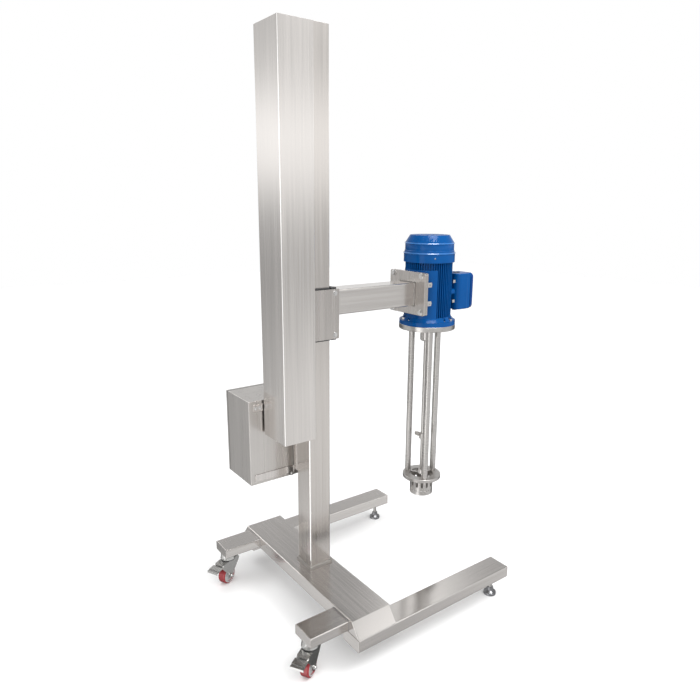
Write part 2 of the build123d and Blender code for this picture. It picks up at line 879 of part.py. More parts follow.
# Cooling fan on the motor shaft
with BuildPart() as cooling_fan:
    with BuildSketch(Plane.XY.offset(fan_bottom)):
        with Locations(axis_point):
            Circle(fan_radius)
    extrude(amount=fan_blade_thickness)
    with BuildSketch(Plane.XY.offset(fan_bottom)):
        with Locations(axis_point):
            Circle(fan_hub_radius)
            with PolarLocations(fan_radius / 2, fan_blades):
                Rectangle(fan_radius - 4, fan_blade_thickness)
    extrude(amount=fan_height)
    with BuildSketch(Plane.XY.offset(fan_bottom)):
        with Locations(axis_point):
            Circle(motor_shaft_radius + running_fit)
    extrude(amount=fan_height, mode=Mode.SUBTRACT)
cooling_fan.part.label = "cooling_fan"
export_step(cooling_fan.part, "parts/cooling_fan.step")

# Motor rotor: shaft and core
with BuildPart() as motor_rotor:
    with BuildSketch(Plane.XY.offset(motor_shaft_bottom)):
        with Locations(axis_point):
            Circle(motor_shaft_radius)
    extrude(amount=motor_shaft_top - motor_shaft_bottom)
    with BuildSketch(Plane.XY.offset(rotor_core_bottom)):
        with Locations(axis_point):
            Circle(rotor_core_radius)
    extrude(amount=rotor_core_height)
motor_rotor.part.label = "motor_rotor"
export_step(motor_rotor.part, "parts/motor_rotor.step")

# Terminal box and its lid
with BuildPart() as terminal_box:
    with BuildSketch(Plane.XY.offset(box_middle - box_height / 2)):
        with Locations((axis_x + box_start + box_depth / 2, 0)):
            RectangleRounded(box_depth, 2 * box_half_width, box_corner)
        with Locations((box_front - box_corner / 2, 0)):
            Rectangle(box_corner, 2 * box_half_width - 4)
    extrude(amount=box_height)
    fillet(terminal_box.faces().sort_by(Axis.Z)[-1].edges(), 5)
    fillet(terminal_box.faces().sort_by(Axis.Z)[0].edges(), 5)
    # Threaded cable entry below, closed with a plug
    with BuildSketch(Plane.XY.offset(box_middle - box_height / 2)):
        with Locations((axis_x + box_start + box_depth / 2, 0)):
            RegularPolygon(gland_radius, 6)
    extrude(amount=-gland_length / 2)
terminal_box.part.label = "terminal_box"
export_step(terminal_box.part, "parts/terminal_box.step")

with BuildPart() as terminal_lid:
    with BuildSketch(Plane.YZ.offset(box_front)):
        with Locations((0, box_middle)):
            RectangleRounded(2 * box_half_width, box_height, lid_corner)
    extrude(amount=lid_depth)
    fillet(terminal_lid.faces().sort_by(Axis.X)[-1].edges(), 6)
    lid_screw = (2 * box_half_width - 26, box_height - 26)
    with BuildSketch(Plane.YZ.offset(box_front + lid_depth)):
        with Locations((0, box_middle)):
            with GridLocations(*lid_screw, 2, 2):
                Circle(4)
    extrude(amount=-6, mode=Mode.SUBTRACT)
terminal_lid.part.label = "terminal_lid"
export_step(terminal_lid.part, "parts/terminal_lid.step")

# Bolts that hold the motor's feet to the bracket
with BuildPart() as foot_bolts:
    with BuildSketch(Plane.YZ.offset(motor_face_x + foot_thickness)):
        with Locations((0, bracket_middle)):
            with GridLocations(2 * foot_bolt_y, foot_bolt_spacing, 2, 2):
                RegularPolygon(foot_head_radius, 6)
    extrude(amount=foot_head_height)
    with BuildSketch(Plane.YZ.offset(motor_plate_x)):
        with Locations((0, bracket_middle)):
            with GridLocations(2 * foot_bolt_y, foot_bolt_spacing, 2, 2):
                Circle(foot_bolt_radius)
    extrude(amount=bracket_plate + foot_thickness)
foot_bolts.part.label = "foot_bolts"
export_step(foot_bolts.part, "parts/foot_bolts.step")

# Bolts that hold the mixing tool to the motor flange, and the shield's small screws
with BuildPart() as flange_bolts:
    with BuildSketch(Plane.XY.offset(flange_top)):
        with Locations(*flange_bolts_at):
            RegularPolygon(flange_head_radius, 6)
    extrude(amount=flange_head_height)
    with BuildSketch(Plane.XY.offset(tool_flange_bottom)):
        with Locations(*flange_bolts_at):
            Circle(flange_bolt_radius)
    extrude(amount=tool_flange_thickness + flange_thickness)
    with BuildSketch(Plane.XY.offset(flange_top)):
        with Locations(*shield_screws_at):
            RegularPolygon(shield_head_radius, 6)
    extrude(amount=shield_head_height)
    with BuildSketch(Plane.XY.offset(flange_top - shield_screw_depth)):
        with Locations(*shield_screws_at):
            Circle(shield_screw_radius)
    extrude(amount=shield_screw_depth)
flange_bolts.part.label = "flange_bolts"
export_step(flange_bolts.part, "parts/flange_bolts.step")

# Steel flange of the mixing tool
with BuildPart() as tool_flange:
    with BuildSketch(Plane.XY.offset(tool_flange_bottom)):
        with Locations(axis_point):
            Circle(tool_flange_radius)
            Circle(hub_bore, mode=Mode.SUBTRACT)
        with Locations(*flange_bolts_at):
            Circle(flange_bolt_radius + bolt_clearance, mode=Mode.SUBTRACT)
    extrude(amount=tool_flange_thickness)
    chamfer(tool_flange.edges().group_by(Axis.Z)[0].sort_by(Edge.length)[-1], 1.5)
tool_flange.part.label = "tool_flange"
export_step(tool_flange.part, "parts/tool_flange.step")

# Seal housing under the flange
with BuildPart() as seal_housing:
    with BuildSketch(Plane.XZ):
        with BuildLine():
            Polyline(
                (axis_x + shaft_radius + running_fit, hub_bottom),
                (axis_x + hub_radius - 4, hub_bottom),
                (axis_x + hub_radius, hub_bottom + 4),
                (axis_x + hub_radius, tool_flange_bottom),
                (axis_x + hub_bore, tool_flange_bottom),
                (axis_x + hub_bore, sleeve_bottom - 2),
                (axis_x + shaft_radius + running_fit, sleeve_bottom - 2),
                close=True,
            )
        make_face()
    revolve(axis=Axis((axis_x, 0, 0), (0, 0, 1)))
seal_housing.part.label = "seal_housing"
export_step(seal_housing.part, "parts/seal_housing.step")

# Three tie rods between the flange and the lower ring
with BuildPart() as tie_rods:
    with BuildSketch(Plane.XY.offset(ring_top)):
        with Locations(axis_point):
            with PolarLocations(rod_circle, rod_count, start_angle=rod_phase):
                Circle(rod_radius)
    extrude(amount=tool_flange_bottom - ring_top)
tie_rods.part.label = "tie_rods"
export_step(tie_rods.part, "parts/tie_rods.step")

# Mixing shaft with the sleeve that takes the motor shaft
with BuildPart() as mixing_shaft:
    with BuildSketch(Plane.XY.offset(rotor_bottom)):
        with Locations(axis_point):
            Circle(shaft_radius)
    extrude(amount=sleeve_bottom - rotor_bottom)
    with BuildSketch(Plane.XY.offset(sleeve_bottom)):
        with Locations(axis_point):
            Circle(sleeve_radius)
    extrude(amount=tool_flange_bottom - sleeve_bottom)
    with BuildSketch(Plane.XY.offset(motor_shaft_bottom - 1)):
        with Locations(axis_point):
            Circle(motor_shaft_radius + running_fit)
    extrude(amount=tool_flange_bottom - motor_shaft_bottom + 1, mode=Mode.SUBTRACT)
mixing_shaft.part.label = "mixing_shaft"
export_step(mixing_shaft.part, "parts/mixing_shaft.step")

# Circulation propeller half way down the shaft
with BuildPart() as propeller:
    with BuildSketch(Plane.XY.offset(propeller_height - propeller_hub_height / 2)):
        with Locations(axis_point):
            Circle(propeller_hub_radius)
    extrude(amount=propeller_hub_height)
    for number in range(propeller_blades):
        turn = 360 / propeller_blades * number + 20
        blade_root = (axis_x, 0, propeller_height)
        blade_plane = Plane(origin=blade_root).rotated((0, 0, turn)).rotated((propeller_pitch, 0, 0))
        with BuildSketch(blade_plane):
            with Locations((propeller_radius / 2 + 4, 0)):
                RectangleRounded(propeller_radius - 8, propeller_blade_width, 9)
        extrude(amount=propeller_blade_thickness / 2, both=True)
    with BuildSketch(Plane.XY.offset(propeller_height - propeller_blade_width)):
        with Locations(axis_point):
            Circle(shaft_radius + running_fit)
    extrude(amount=2 * propeller_blade_width, mode=Mode.SUBTRACT)
propeller.part.label = "propeller"
export_step(propeller.part, "parts/propeller.step")

# Lower ring: rim, spokes and the shaft's guide bush
with BuildPart() as lower_ring:
    with BuildSketch(Plane.XY.offset(ring_bottom)):
        with Locations(axis_point):
            Circle(ring_radius)
            Circle(ring_inner, mode=Mode.SUBTRACT)
            Circle(ring_hub_radius)
            with PolarLocations((ring_hub_radius + ring_inner) / 2, rod_count, start_angle=rod_phase):
                Rectangle(ring_inner - ring_hub_radius + 10, ring_spoke)
    extrude(amount=ring_thickness)
    rim_edges = lower_ring.edges().filter_by(GeomType.CIRCLE).sort_by(Edge.length)[-2:]
    fillet(rim_edges, 2)
    with BuildSketch(Plane.XZ):
        with BuildLine():
            Polyline(
                (axis_x, ring_top - 1),
                (axis_x + ring_hub_radius, ring_top - 1),
                (axis_x + ring_hub_radius, ring_top + 1),
                (axis_x + bush_top_radius, ring_top + bush_rise),
                (axis_x, ring_top + bush_rise),
                close=True,
            )
        make_face()
    revolve(axis=Axis((axis_x, 0, 0), (0, 0, 1)))
    with BuildSketch(Plane.XY.offset(ring_bottom)):
        with Locations(axis_point):
            Circle(shaft_radius + running_fit)
    extrude(amount=ring_thickness + bush_rise, mode=Mode.SUBTRACT)
lower_ring.part.label = "lower_ring"
export_step(lower_ring.part, "parts/lower_ring.step")

# Stator head: a slotted cylinder hung under the ring by its flange
with BuildPart() as stator_head:
    with BuildSketch(Plane.XY.offset(stator_top - stator_flange)):
        with Locations(axis_point):
            Circle(stator_flange_radius)
            Circle(stator_radius - stator_wall, mode=Mode.SUBTRACT)
    extrude(amount=stator_flange)
    with BuildSketch(Plane.XY.offset(stator_bottom)):
        with Locations(axis_point):
            Circle(stator_radius)
            Circle(stator_radius - stator_wall, mode=Mode.SUBTRACT)
    extrude(amount=stator_top - stator_bottom)
    for number in range(slot_count):
        turn = 360 / slot_count * number
        slot_plane = Plane(
            origin=(axis_x, 0, slot_bottom + slot_height / 2),
            x_dir=(-math.sin(math.radians(turn)), math.cos(math.radians(turn)), 0),
            z_dir=(math.cos(math.radians(turn)), math.sin(math.radians(turn)), 0),
        )
        with BuildSketch(slot_plane.offset(stator_radius - 2 * stator_wall)):
            RectangleRounded(slot_width, slot_height, slot_rounding)
        extrude(amount=3 * stator_wall, mode=Mode.SUBTRACT)
    for number in range(hole_count):
        turn = math.radians(360 / hole_count * number)
        hole_plane = Plane(
            origin=(axis_x, 0, hole_level),
            x_dir=(-math.sin(turn), math.cos(turn), 0),
            z_dir=(math.cos(turn), math.sin(turn), 0),
        )
        with BuildSketch(hole_plane.offset(stator_radius - 2 * stator_wall)):
            Circle(hole_radius)
        extrude(amount=3 * stator_wall, mode=Mode.SUBTRACT)
stator_head.part.label = "stator_head"
export_step(stator_head.part, "parts/stator_head.step")

# Rotor head: hub and four blades that run inside the stator
with BuildPart() as rotor_head:
    with BuildSketch(Plane.XY.offset(rotor_bottom)):
        with Locations(axis_point):
            Circle(rotor_hub_radius)
            with PolarLocations(rotor_radius / 2, rotor_blades, start_angle=15):
                Rectangle(rotor_radius - 1, rotor_blade_thickness)
            Circle(shaft_radius + running_fit, mode=Mode.SUBTRACT)
    extrude(amount=rotor_height)
rotor_head.part.label = "rotor_head"
export_step(rotor_head.part, "parts/rotor_head.step")

# Caster necks: cones welded under the stubs, with the fixed half of the swivel
caster_top = stub_bottom
neck_bottom = caster_top - neck_height
seal_top = neck_bottom - seat_gap
crown_top = seal_top - seal_height
crown_bottom = crown_top - crown_thickness
with BuildPart() as caster_necks:
    for sign in sides.values():
        neck_ends = ((neck_bottom, neck_low_radius), (caster_top, neck_top_radius))
        for level, radius in neck_ends:
            with BuildSketch(Plane.XY.offset(level)):
                with Locations((swivel_x, sign * stub_middle)):
                    Circle(radius)
        loft()
caster_necks.part.label = "caster_necks"
export_step(caster_necks.part, "parts/caster_necks.step")


def caster_plane(side):
    """Side view plane of a caster: x runs back along its trail, y up, through the swivel."""
    yaw = math.radians(caster_yaw[side])
    return Plane(
        origin=(swivel_x, sides[side] * stub_middle, 0),
        x_dir=(-math.cos(yaw), -math.sin(yaw), 0),
        z_dir=(-math.sin(yaw), math.cos(yaw), 0),
    )


for side, sign in sides.items():
    side_view = caster_plane(side)
    swivel_point = (swivel_x, sign * stub_middle)

    # Fork: a seal ring, a pressed crown with two cheeks and a front wall, the axle and the pedal's pin
    with BuildPart() as caster_fork:
        with BuildSketch(Plane.XY.offset(crown_top)):
            with Locations(swivel_point):
                Circle(seal_radius)
        extrude(amount=seal_height)
        crown_plane = Plane(origin=(*swivel_point, crown_bottom), x_dir=side_view.x_dir, z_dir=(0, 0, 1))
        with BuildSketch(crown_plane):
            with Locations(((fork_rear - fork_front) / 2, 0)):
                RectangleRounded(fork_front + fork_rear, 2 * (cheek_gap + cheek_thickness), crown_corner)
        extrude(amount=crown_thickness)
        with BuildSketch(side_view.offset(-cheek_gap - cheek_thickness / 2)):
            with BuildLine():
                Polyline(
                    (-fork_front + crown_corner, crown_bottom + 1),
                    (-fork_front + crown_corner - cheek_thickness, crown_bottom + 1),
                    (-fork_front + crown_corner - cheek_thickness, fork_skirt),
                    (-fork_chin + crown_corner - cheek_thickness, fork_chin_height),
                    (-fork_chin + crown_corner, fork_chin_height),
                    (-fork_front + crown_corner, fork_skirt),
                    close=True,
                )
            make_face()
        extrude(amount=2 * cheek_gap + cheek_thickness)
        for start in (-cheek_gap - cheek_thickness, cheek_gap):
            with BuildSketch(side_view.offset(start)):
                with BuildLine():
                    Polyline(
                        (-fork_front + crown_corner, crown_bottom + 1),
                        (fork_rear - crown_corner, crown_bottom + 1),
                        (fork_rear, crown_bottom - 2),
                        (fork_rear, fork_rear_height),
                        (wheel_trail + 2 * cheek_end_radius, wheel_radius + 2 * cheek_end_radius),
                        (wheel_trail + cheek_end_radius, wheel_radius),
                        (wheel_trail - cheek_end_radius, wheel_radius),
                        (-fork_chin, fork_chin_height),
                        (-fork_front, fork_skirt),
                        (-fork_front, crown_bottom - 2),
                        close=True,
                    )
                make_face()
                with Locations((wheel_trail, wheel_radius)):
                    Circle(cheek_end_radius)
            extrude(amount=cheek_thickness)
        axle_half = cheek_gap + cheek_thickness
        with BuildSketch(side_view.offset(-axle_half)):
            with Locations((wheel_trail, wheel_radius)):
                Circle(axle_radius)
            with Locations((pedal_pivot_trail, pedal_pivot_height)):
                Circle(pedal_pin_radius)
        extrude(amount=2 * axle_half)
        for start in (-axle_half - axle_head_height, axle_half):
            with BuildSketch(side_view.offset(start)):
                with Locations((wheel_trail, wheel_radius)):
                    RegularPolygon(axle_head_radius, 6)
            extrude(amount=axle_head_height)
    caster_fork.part.label = f"caster_fork_{side}"
    export_step(caster_fork.part, f"parts/caster_fork_{side}.step")

    # Wheel: rounded tread on a dished hub
    with BuildPart() as caster_wheel:
        with BuildSketch(side_view.offset(-wheel_width / 2)):
            with Locations((wheel_trail, wheel_radius)):
                Circle(wheel_radius)
        extrude(amount=wheel_width)
        fillet(caster_wheel.edges().filter_by(GeomType.CIRCLE), tread_rounding)
        for start in (-wheel_width / 2, wheel_width / 2 - wheel_recess_depth):
            with BuildSketch(side_view.offset(start)):
                with Locations((wheel_trail, wheel_radius)):
                    Circle(wheel_recess_outer)
                    Circle(wheel_boss_radius, mode=Mode.SUBTRACT)
            extrude(amount=wheel_recess_depth, mode=Mode.SUBTRACT)
        with BuildSketch(side_view.offset(-wheel_boss_width / 2)):
            with Locations((wheel_trail, wheel_radius)):
                Circle(wheel_boss_radius)
        extrude(amount=wheel_boss_width)
        with BuildSketch(side_view.offset(-wheel_boss_width / 2)):
            with Locations((wheel_trail, wheel_radius)):
                Circle(axle_radius + running_fit)
        extrude(amount=wheel_boss_width, mode=Mode.SUBTRACT)
    caster_wheel.part.label = f"caster_wheel_{side}"
    export_step(caster_wheel.part, f"parts/caster_wheel_{side}.step")

    # Brake pedal: a barrel on the pin, a narrow neck and the broad tread
    with BuildPart() as brake_pedal:
        barrel_half = cheek_gap - seat_gap
        with BuildSketch(side_view.offset(-barrel_half)):
            with Locations((pedal_pivot_trail, pedal_pivot_height)):
                Circle(pedal_barrel_radius)
        extrude(amount=2 * barrel_half)
        tread_start = fork_rear + 2
        high = pedal_pivot_height + pedal_barrel_radius - pedal_thickness
        middle = high - pedal_drop
        low = middle - pedal_step
        neck_length = tread_start + pedal_thickness - pedal_pivot_trail
        with BuildSketch(side_view.offset(-pedal_neck)):
            with Locations((pedal_pivot_trail + neck_length / 2, high + pedal_thickness / 2)):
                Rectangle(neck_length, pedal_thickness)
        extrude(amount=2 * pedal_neck)
        with BuildSketch(side_view.offset(-pedal_half_width)):
            with BuildLine():
                Polyline(
                    (tread_start, high),
                    (pedal_step_trail, middle),
                    (pedal_step_trail, low),
                    (pedal_reach - pedal_thickness, low),
                    (pedal_reach - pedal_thickness, low - pedal_lip),
                    (pedal_reach, low - pedal_lip),
                    (pedal_reach, low + pedal_thickness),
                    (pedal_step_trail + pedal_thickness, low + pedal_thickness),
                    (pedal_step_trail + pedal_thickness, middle + pedal_thickness),
                    (tread_start, high + pedal_thickness),
                    close=True,
                )
            make_face()
        extrude(amount=2 * pedal_half_width)
        with BuildSketch(side_view.offset(-barrel_half)):
            with Locations((pedal_pivot_trail, pedal_pivot_height)):
                Circle(pedal_pin_radius + running_fit)
        extrude(amount=2 * barrel_half, mode=Mode.SUBTRACT)
    brake_pedal.part.label = f"brake_pedal_{side}"
    export_step(brake_pedal.part, f"parts/brake_pedal_{side}.step")

    # Levelling foot: stud, lock nut and a broad pad
    with BuildPart() as levelling_foot:
        with BuildSketch(Plane.XY):
            with Locations((foot_x, sign * leg_y)):
                Circle(foot_pad_radius)
        extrude(amount=foot_pad_height)
        fillet(levelling_foot.edges().group_by(Axis.Z)[-1], 5)
        with BuildSketch(Plane.XY.offset(foot_pad_height)):
            with Locations((foot_x, sign * leg_y)):
                Circle(foot_stud_radius)
        extrude(amount=foot_stud_top - foot_pad_height)
        with BuildSketch(Plane.XY.offset(leg_bottom - seat_gap - foot_nut_height)):
            with Locations((foot_x, sign * leg_y)):
                RegularPolygon(foot_nut_radius, 6)
        extrude(amount=foot_nut_height)
    levelling_foot.part.label = f"levelling_foot_{side}"
    export_step(levelling_foot.part, f"parts/levelling_foot_{side}.step")

# Control box case: folded sheet, open towards +Y, with a turned lip and fixed hinge knuckles
with BuildPart() as control_case:
    with BuildSketch(far_plane(case_near)):
        with Locations((case_x, case_z)):
            RectangleRounded(case_width, case_height, 2)
    extrude(amount=-case_depth)
    with BuildSketch(far_plane(case_near + case_sheet)):
        with Locations((case_x, case_z)):
            Rectangle(case_width - 2 * case_sheet, case_height - 2 * case_sheet)
    extrude(amount=-(case_depth - 2 * case_sheet), mode=Mode.SUBTRACT)
    with BuildSketch(far_plane(case_far)):
        with Locations((case_x, case_z)):
            Rectangle(case_width - 2 * case_lip, case_height - 2 * case_lip)
    extrude(amount=2 * case_sheet, mode=Mode.SUBTRACT)
    knuckle_levels = (case_bottom + hinge_inset, case_top - hinge_inset - 2 * hinge_barrel_length)
    for level in knuckle_levels:
        with BuildSketch(Plane.XY.offset(level)):
            with Locations((hinge_x, hinge_y)):
                Circle(hinge_barrel_radius)
            with Locations((case_front + 1, case_far - 12)):
                Rectangle(2, 20)
            with Locations(((case_front + hinge_x) / 2, hinge_y - 2.2)):
                Rectangle(hinge_offset, 2)
        extrude(amount=hinge_barrel_length)
        with BuildSketch(Plane.XY.offset(level + hinge_barrel_length)):
            with Locations((hinge_x, hinge_y)):
                Circle(hinge_pin_radius)
        extrude(amount=hinge_barrel_length)
    # Cable gland in the floor of the case
    with BuildSketch(Plane.XY.offset(case_bottom)):
        with Locations((case_front - 60, case_near + 60)):
            RegularPolygon(gland_radius, 6)
    extrude(amount=-gland_length)
control_case.part.label = "control_case"
export_step(control_case.part, "parts/control_case.step")

# Door: a shallow pan with holes for the controls and the moving hinge knuckles
control_columns = (case_x - control_pitch, case_x, case_x + control_pitch)
e_stop_at = (control_columns[0], control_row_high)
speed_at = (control_columns[2], control_row_high)
start_at = (control_columns[0], control_row_low)
stop_at = (control_columns[1], control_row_low)
selector_at = (control_columns[2], control_row_low)
lock_at = (case_rear + lock_inset, lock_height)
panel_holes = (e_stop_at, speed_at, start_at, stop_at, selector_at)
with BuildPart() as control_door:
    with BuildSketch(far_plane(door_near)):
        with Locations((case_x, case_z)):
            RectangleRounded(case_width, case_height, 2)
    extrude(amount=-door_depth)
    fillet(control_door.faces().sort_by(Axis.Y)[-1].edges(), 1.5)
    with BuildSketch(far_plane(door_near)):
        with Locations((case_x, case_z)):
            Rectangle(case_width - 2 * case_sheet, case_height - 2 * case_sheet)
    extrude(amount=-(door_depth - case_sheet), mode=Mode.SUBTRACT)
    with BuildSketch(far_plane(door_far)):
        with Locations(*panel_holes):
            Circle(stem_radius + running_fit)
        with Locations(lock_at):
            Circle(stem_radius + running_fit)
    extrude(amount=2 * case_sheet, mode=Mode.SUBTRACT)
    for level in knuckle_levels:
        with BuildSketch(Plane.XY.offset(level + hinge_barrel_length + seat_gap)):
            with Locations((hinge_x, hinge_y)):
                Circle(hinge_barrel_radius)
            with Locations(((case_front + hinge_x) / 2, hinge_y + 2.4)):
                Rectangle(hinge_offset, 2)
            with Locations((hinge_x, hinge_y)):
                Circle(hinge_pin_radius + running_fit, mode=Mode.SUBTRACT)
        extrude(amount=hinge_barrel_length - seat_gap)
control_door.part.label = "control_door"
export_step(control_door.part, "parts/control_door.step")

# Bracket that carries the case on the column
with BuildPart() as case_bracket:
    strap_near = case_near - mount_rail - mount_strap
    with BuildSketch(Plane.XY.offset(case_bottom + mount_web_lift)):
        with Locations((mast_x, (column_half + strap_near) / 2)):
            Rectangle(2 * mount_half_width, strap_near - column_half)
            Rectangle(2 * (mount_half_width - mount_wall), strap_near - column_half, mode=Mode.SUBTRACT)
    extrude(amount=mount_web_height)
    with BuildSketch(far_plane(strap_near)):
        with Locations((mast_x - mount_plate_back, case_z)):
            Rectangle(mount_plate_width, case_height - 2 * mount_plate_inset)
    extrude(amount=-mount_strap)
    rail_length = case_front - 20 - (case_rear + lug_overhang)
    rail_x = case_rear + lug_overhang + rail_length / 2
    with BuildSketch(far_plane(case_near - mount_rail)):
        with Locations((rail_x, case_bottom + mount_rail_inset), (rail_x, case_top - mount_rail_inset)):
            RectangleRounded(rail_length, mount_rail_height, 5)
    extrude(amount=-mount_rail)
case_bracket.part.label = "case_bracket"
export_step(case_bracket.part, "parts/case_bracket.step")

# Mounting panel on four standoffs
with BuildPart() as mounting_panel:
    panel_width = case_width - 2 * panel_inset
    panel_height = case_height - 2 * panel_inset
    with BuildSketch(far_plane(panel_y)):
        with Locations((case_x, case_z)):
            Rectangle(panel_width, panel_height)
    extrude(amount=-panel_thickness)
    with BuildSketch(far_plane(case_near + case_sheet)):
        with Locations((case_x, case_z)):
            with GridLocations(panel_width - 20, panel_height - 20, 2, 2):
                Circle(5)
    extrude(amount=-panel_standoff)
mounting_panel.part.label = "mounting_panel"
export_step(mounting_panel.part, "parts/mounting_panel.step")

# Inverter drive: body with a ribbed heat sink behind
device_y = panel_y + panel_thickness
drive_unit_x = case_x - 50
drive_unit_z = case_z + 20
with BuildPart() as inverter_drive:
    sink_depth = 34
    with BuildSketch(far_plane(device_y + sink_depth)):
        with Locations((drive_unit_x, drive_unit_z)):
            RectangleRounded(drive_unit_width, drive_unit_height, 6)
    extrude(amount=-(drive_unit_depth - sink_depth))
    with BuildSketch(far_plane(device_y)):
        with Locations((drive_unit_x, drive_unit_z)):
            Rectangle(drive_unit_width - 6, drive_unit_height - 10)
    extrude(amount=-4)
    with BuildSketch(far_plane(device_y)):
        with Locations((drive_unit_x, drive_unit_z)):
            with GridLocations((drive_unit_width - 10) / (drive_unit_fins - 1), 0, drive_unit_fins, 1):
                Rectangle(3, drive_unit_height - 10)
    extrude(amount=-sink_depth - 1)
inverter_drive.part.label = "inverter_drive"
export_step(inverter_drive.part, "parts/inverter_drive.step")

# Row of rail terminals and a contactor
with BuildPart() as terminal_row:
    row_x = case_x + device_spread
    row_z = case_z - terminal_drop
    with BuildSketch(far_plane(device_y)):
        with Locations((row_x, row_z)):
            Rectangle(terminal_width, terminal_rail_height)
    extrude(amount=-terminal_rail_depth)
    with BuildSketch(far_plane(device_y + terminal_rail_depth - 1)):
        with Locations((row_x, row_z)):
            Rectangle(terminal_count * terminal_pitch, terminal_height)
            with GridLocations(terminal_pitch, 0, terminal_count - 1, 1):
                Rectangle(1, terminal_height - 6, mode=Mode.SUBTRACT)
    extrude(amount=-terminal_depth)
    with BuildSketch(far_plane(device_y)):
        with Locations((row_x, case_z + contactor_rise)):
            Rectangle(contactor_width, contactor_height)
    extrude(amount=-contactor_depth)
terminal_row.part.label = "terminal_row"
export_step(terminal_row.part, "parts/terminal_row.step")

# Bezels round the controls
with BuildPart() as control_bezels:
    with BuildSketch(far_plane(door_far)):
        with Locations(start_at, stop_at, selector_at, speed_at):
            Circle(bezel_radius)
            Circle(button_radius + seat_gap, mode=Mode.SUBTRACT)
        with Locations(e_stop_at):
            Circle(mushroom_radius)
            Circle(button_radius + seat_gap, mode=Mode.SUBTRACT)
    extrude(amount=-bezel_height)
control_bezels.part.label = "control_bezels"
export_step(control_bezels.part, "parts/control_bezels.step")

# Push buttons: a round cap in the bezel and a stem through the door
cap_near = door_far + button_travel + seat_gap
for name, at in (("start_button", start_at), ("stop_button", stop_at)):
    with BuildPart() as push_button:
        with BuildSketch(far_plane(cap_near)):
            with Locations(at):
                Circle(button_radius)
        extrude(amount=-(bezel_height + button_proud - button_travel))
        fillet(push_button.edges().group_by(Axis.Y)[-1], 1.5)
        with BuildSketch(far_plane(cap_near)):
            with Locations(at):
                Circle(stem_radius)
        extrude(amount=button_depth)
    push_button.part.label = name
    export_step(push_button.part, f"parts/{name}.step")

# Emergency stop: a mushroom head on a stem
with BuildPart() as emergency_stop:
    mushroom_near = door_far + bezel_height + mushroom_travel + seat_gap
    with BuildSketch(far_plane(mushroom_near)):
        with Locations(e_stop_at):
            Circle(mushroom_radius)
    extrude(amount=-mushroom_height)
    fillet(emergency_stop.edges().group_by(Axis.Y)[-1], 5)
    with BuildSketch(far_plane(mushroom_near)):
        with Locations(e_stop_at):
            Circle(stem_radius)
    extrude(amount=mushroom_near - door_far + button_depth)
emergency_stop.part.label = "emergency_stop"
export_step(emergency_stop.part, "parts/emergency_stop.step")

# Speed knob and lift selector: turned knobs with a pointer rib
for name, at in (("speed_knob", speed_at), ("lift_selector", selector_at)):
    with BuildPart() as knob:
        knob_near = door_far + bezel_height + seat_gap
        with BuildSketch(far_plane(knob_near)):
            with Locations(at):
                Circle(knob_radius)
        extrude(amount=-6)
        with BuildSketch(far_plane(knob_near + 5)):
            with Locations(at):
                SlotOverall(2 * knob_radius - 2, 9, rotation=90)
        extrude(amount=-(knob_height - 5))
        with BuildSketch(far_plane(knob_near)):
            with Locations(at):
                Circle(stem_radius)
        extrude(amount=knob_near - door_far + button_depth)
    knob.part.label = name
    export_step(knob.part, f"parts/{name}.step")

# Quarter turn door lock with its tongue
with BuildPart() as door_lock:
    with BuildSketch(far_plane(door_far + seat_gap)):
        with Locations(lock_at):
            Circle(lock_radius)
    extrude(amount=-6)
    with BuildSketch(far_plane(door_far + seat_gap + 6)):
        with Locations(lock_at):
            SlotOverall(14, 4, rotation=90)
    extrude(amount=2, mode=Mode.SUBTRACT)
    with BuildSketch(far_plane(door_far + seat_gap)):
        with Locations(lock_at):
            Circle(stem_radius)
    extrude(amount=button_depth)
    with BuildSketch(far_plane(door_far + seat_gap - button_depth + 3)):
        with Locations((lock_at[0], lock_at[1] - lock_tongue / 2 + 4)):
            Rectangle(12, lock_tongue + 8)
    extrude(amount=3)
door_lock.part.label = "door_lock"
export_step(door_lock.part, "parts/door_lock.step")
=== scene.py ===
import json
import math

import bmesh
import bpy
from mathutils import Matrix, Vector


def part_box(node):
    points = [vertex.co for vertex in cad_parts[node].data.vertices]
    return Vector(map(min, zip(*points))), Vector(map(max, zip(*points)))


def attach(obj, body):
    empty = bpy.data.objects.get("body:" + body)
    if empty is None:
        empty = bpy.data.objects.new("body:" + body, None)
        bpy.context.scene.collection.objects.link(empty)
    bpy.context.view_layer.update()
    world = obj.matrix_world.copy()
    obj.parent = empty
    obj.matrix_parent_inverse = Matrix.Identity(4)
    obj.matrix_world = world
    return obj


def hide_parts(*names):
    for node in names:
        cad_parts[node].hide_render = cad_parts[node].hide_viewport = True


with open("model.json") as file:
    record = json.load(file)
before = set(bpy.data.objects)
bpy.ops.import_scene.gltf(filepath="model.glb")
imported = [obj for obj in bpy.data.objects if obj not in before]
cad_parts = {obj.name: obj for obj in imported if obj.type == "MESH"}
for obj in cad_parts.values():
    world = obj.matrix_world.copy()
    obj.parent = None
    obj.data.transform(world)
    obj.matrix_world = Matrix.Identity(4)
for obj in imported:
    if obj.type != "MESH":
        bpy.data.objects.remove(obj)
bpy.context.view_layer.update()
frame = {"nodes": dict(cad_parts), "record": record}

# %% [markdown]
# # Shader maths that reads like Python
# Every surface of this machine is metal, paint or plastic, and each finish is worked out
# from noise, position and a few numbers. Blender does that with small nodes joined by
# wires. The wires could be drawn one by one, but sums are easier to read, so one small
# class wraps a socket and turns +, -, *, / and ** into Math nodes.

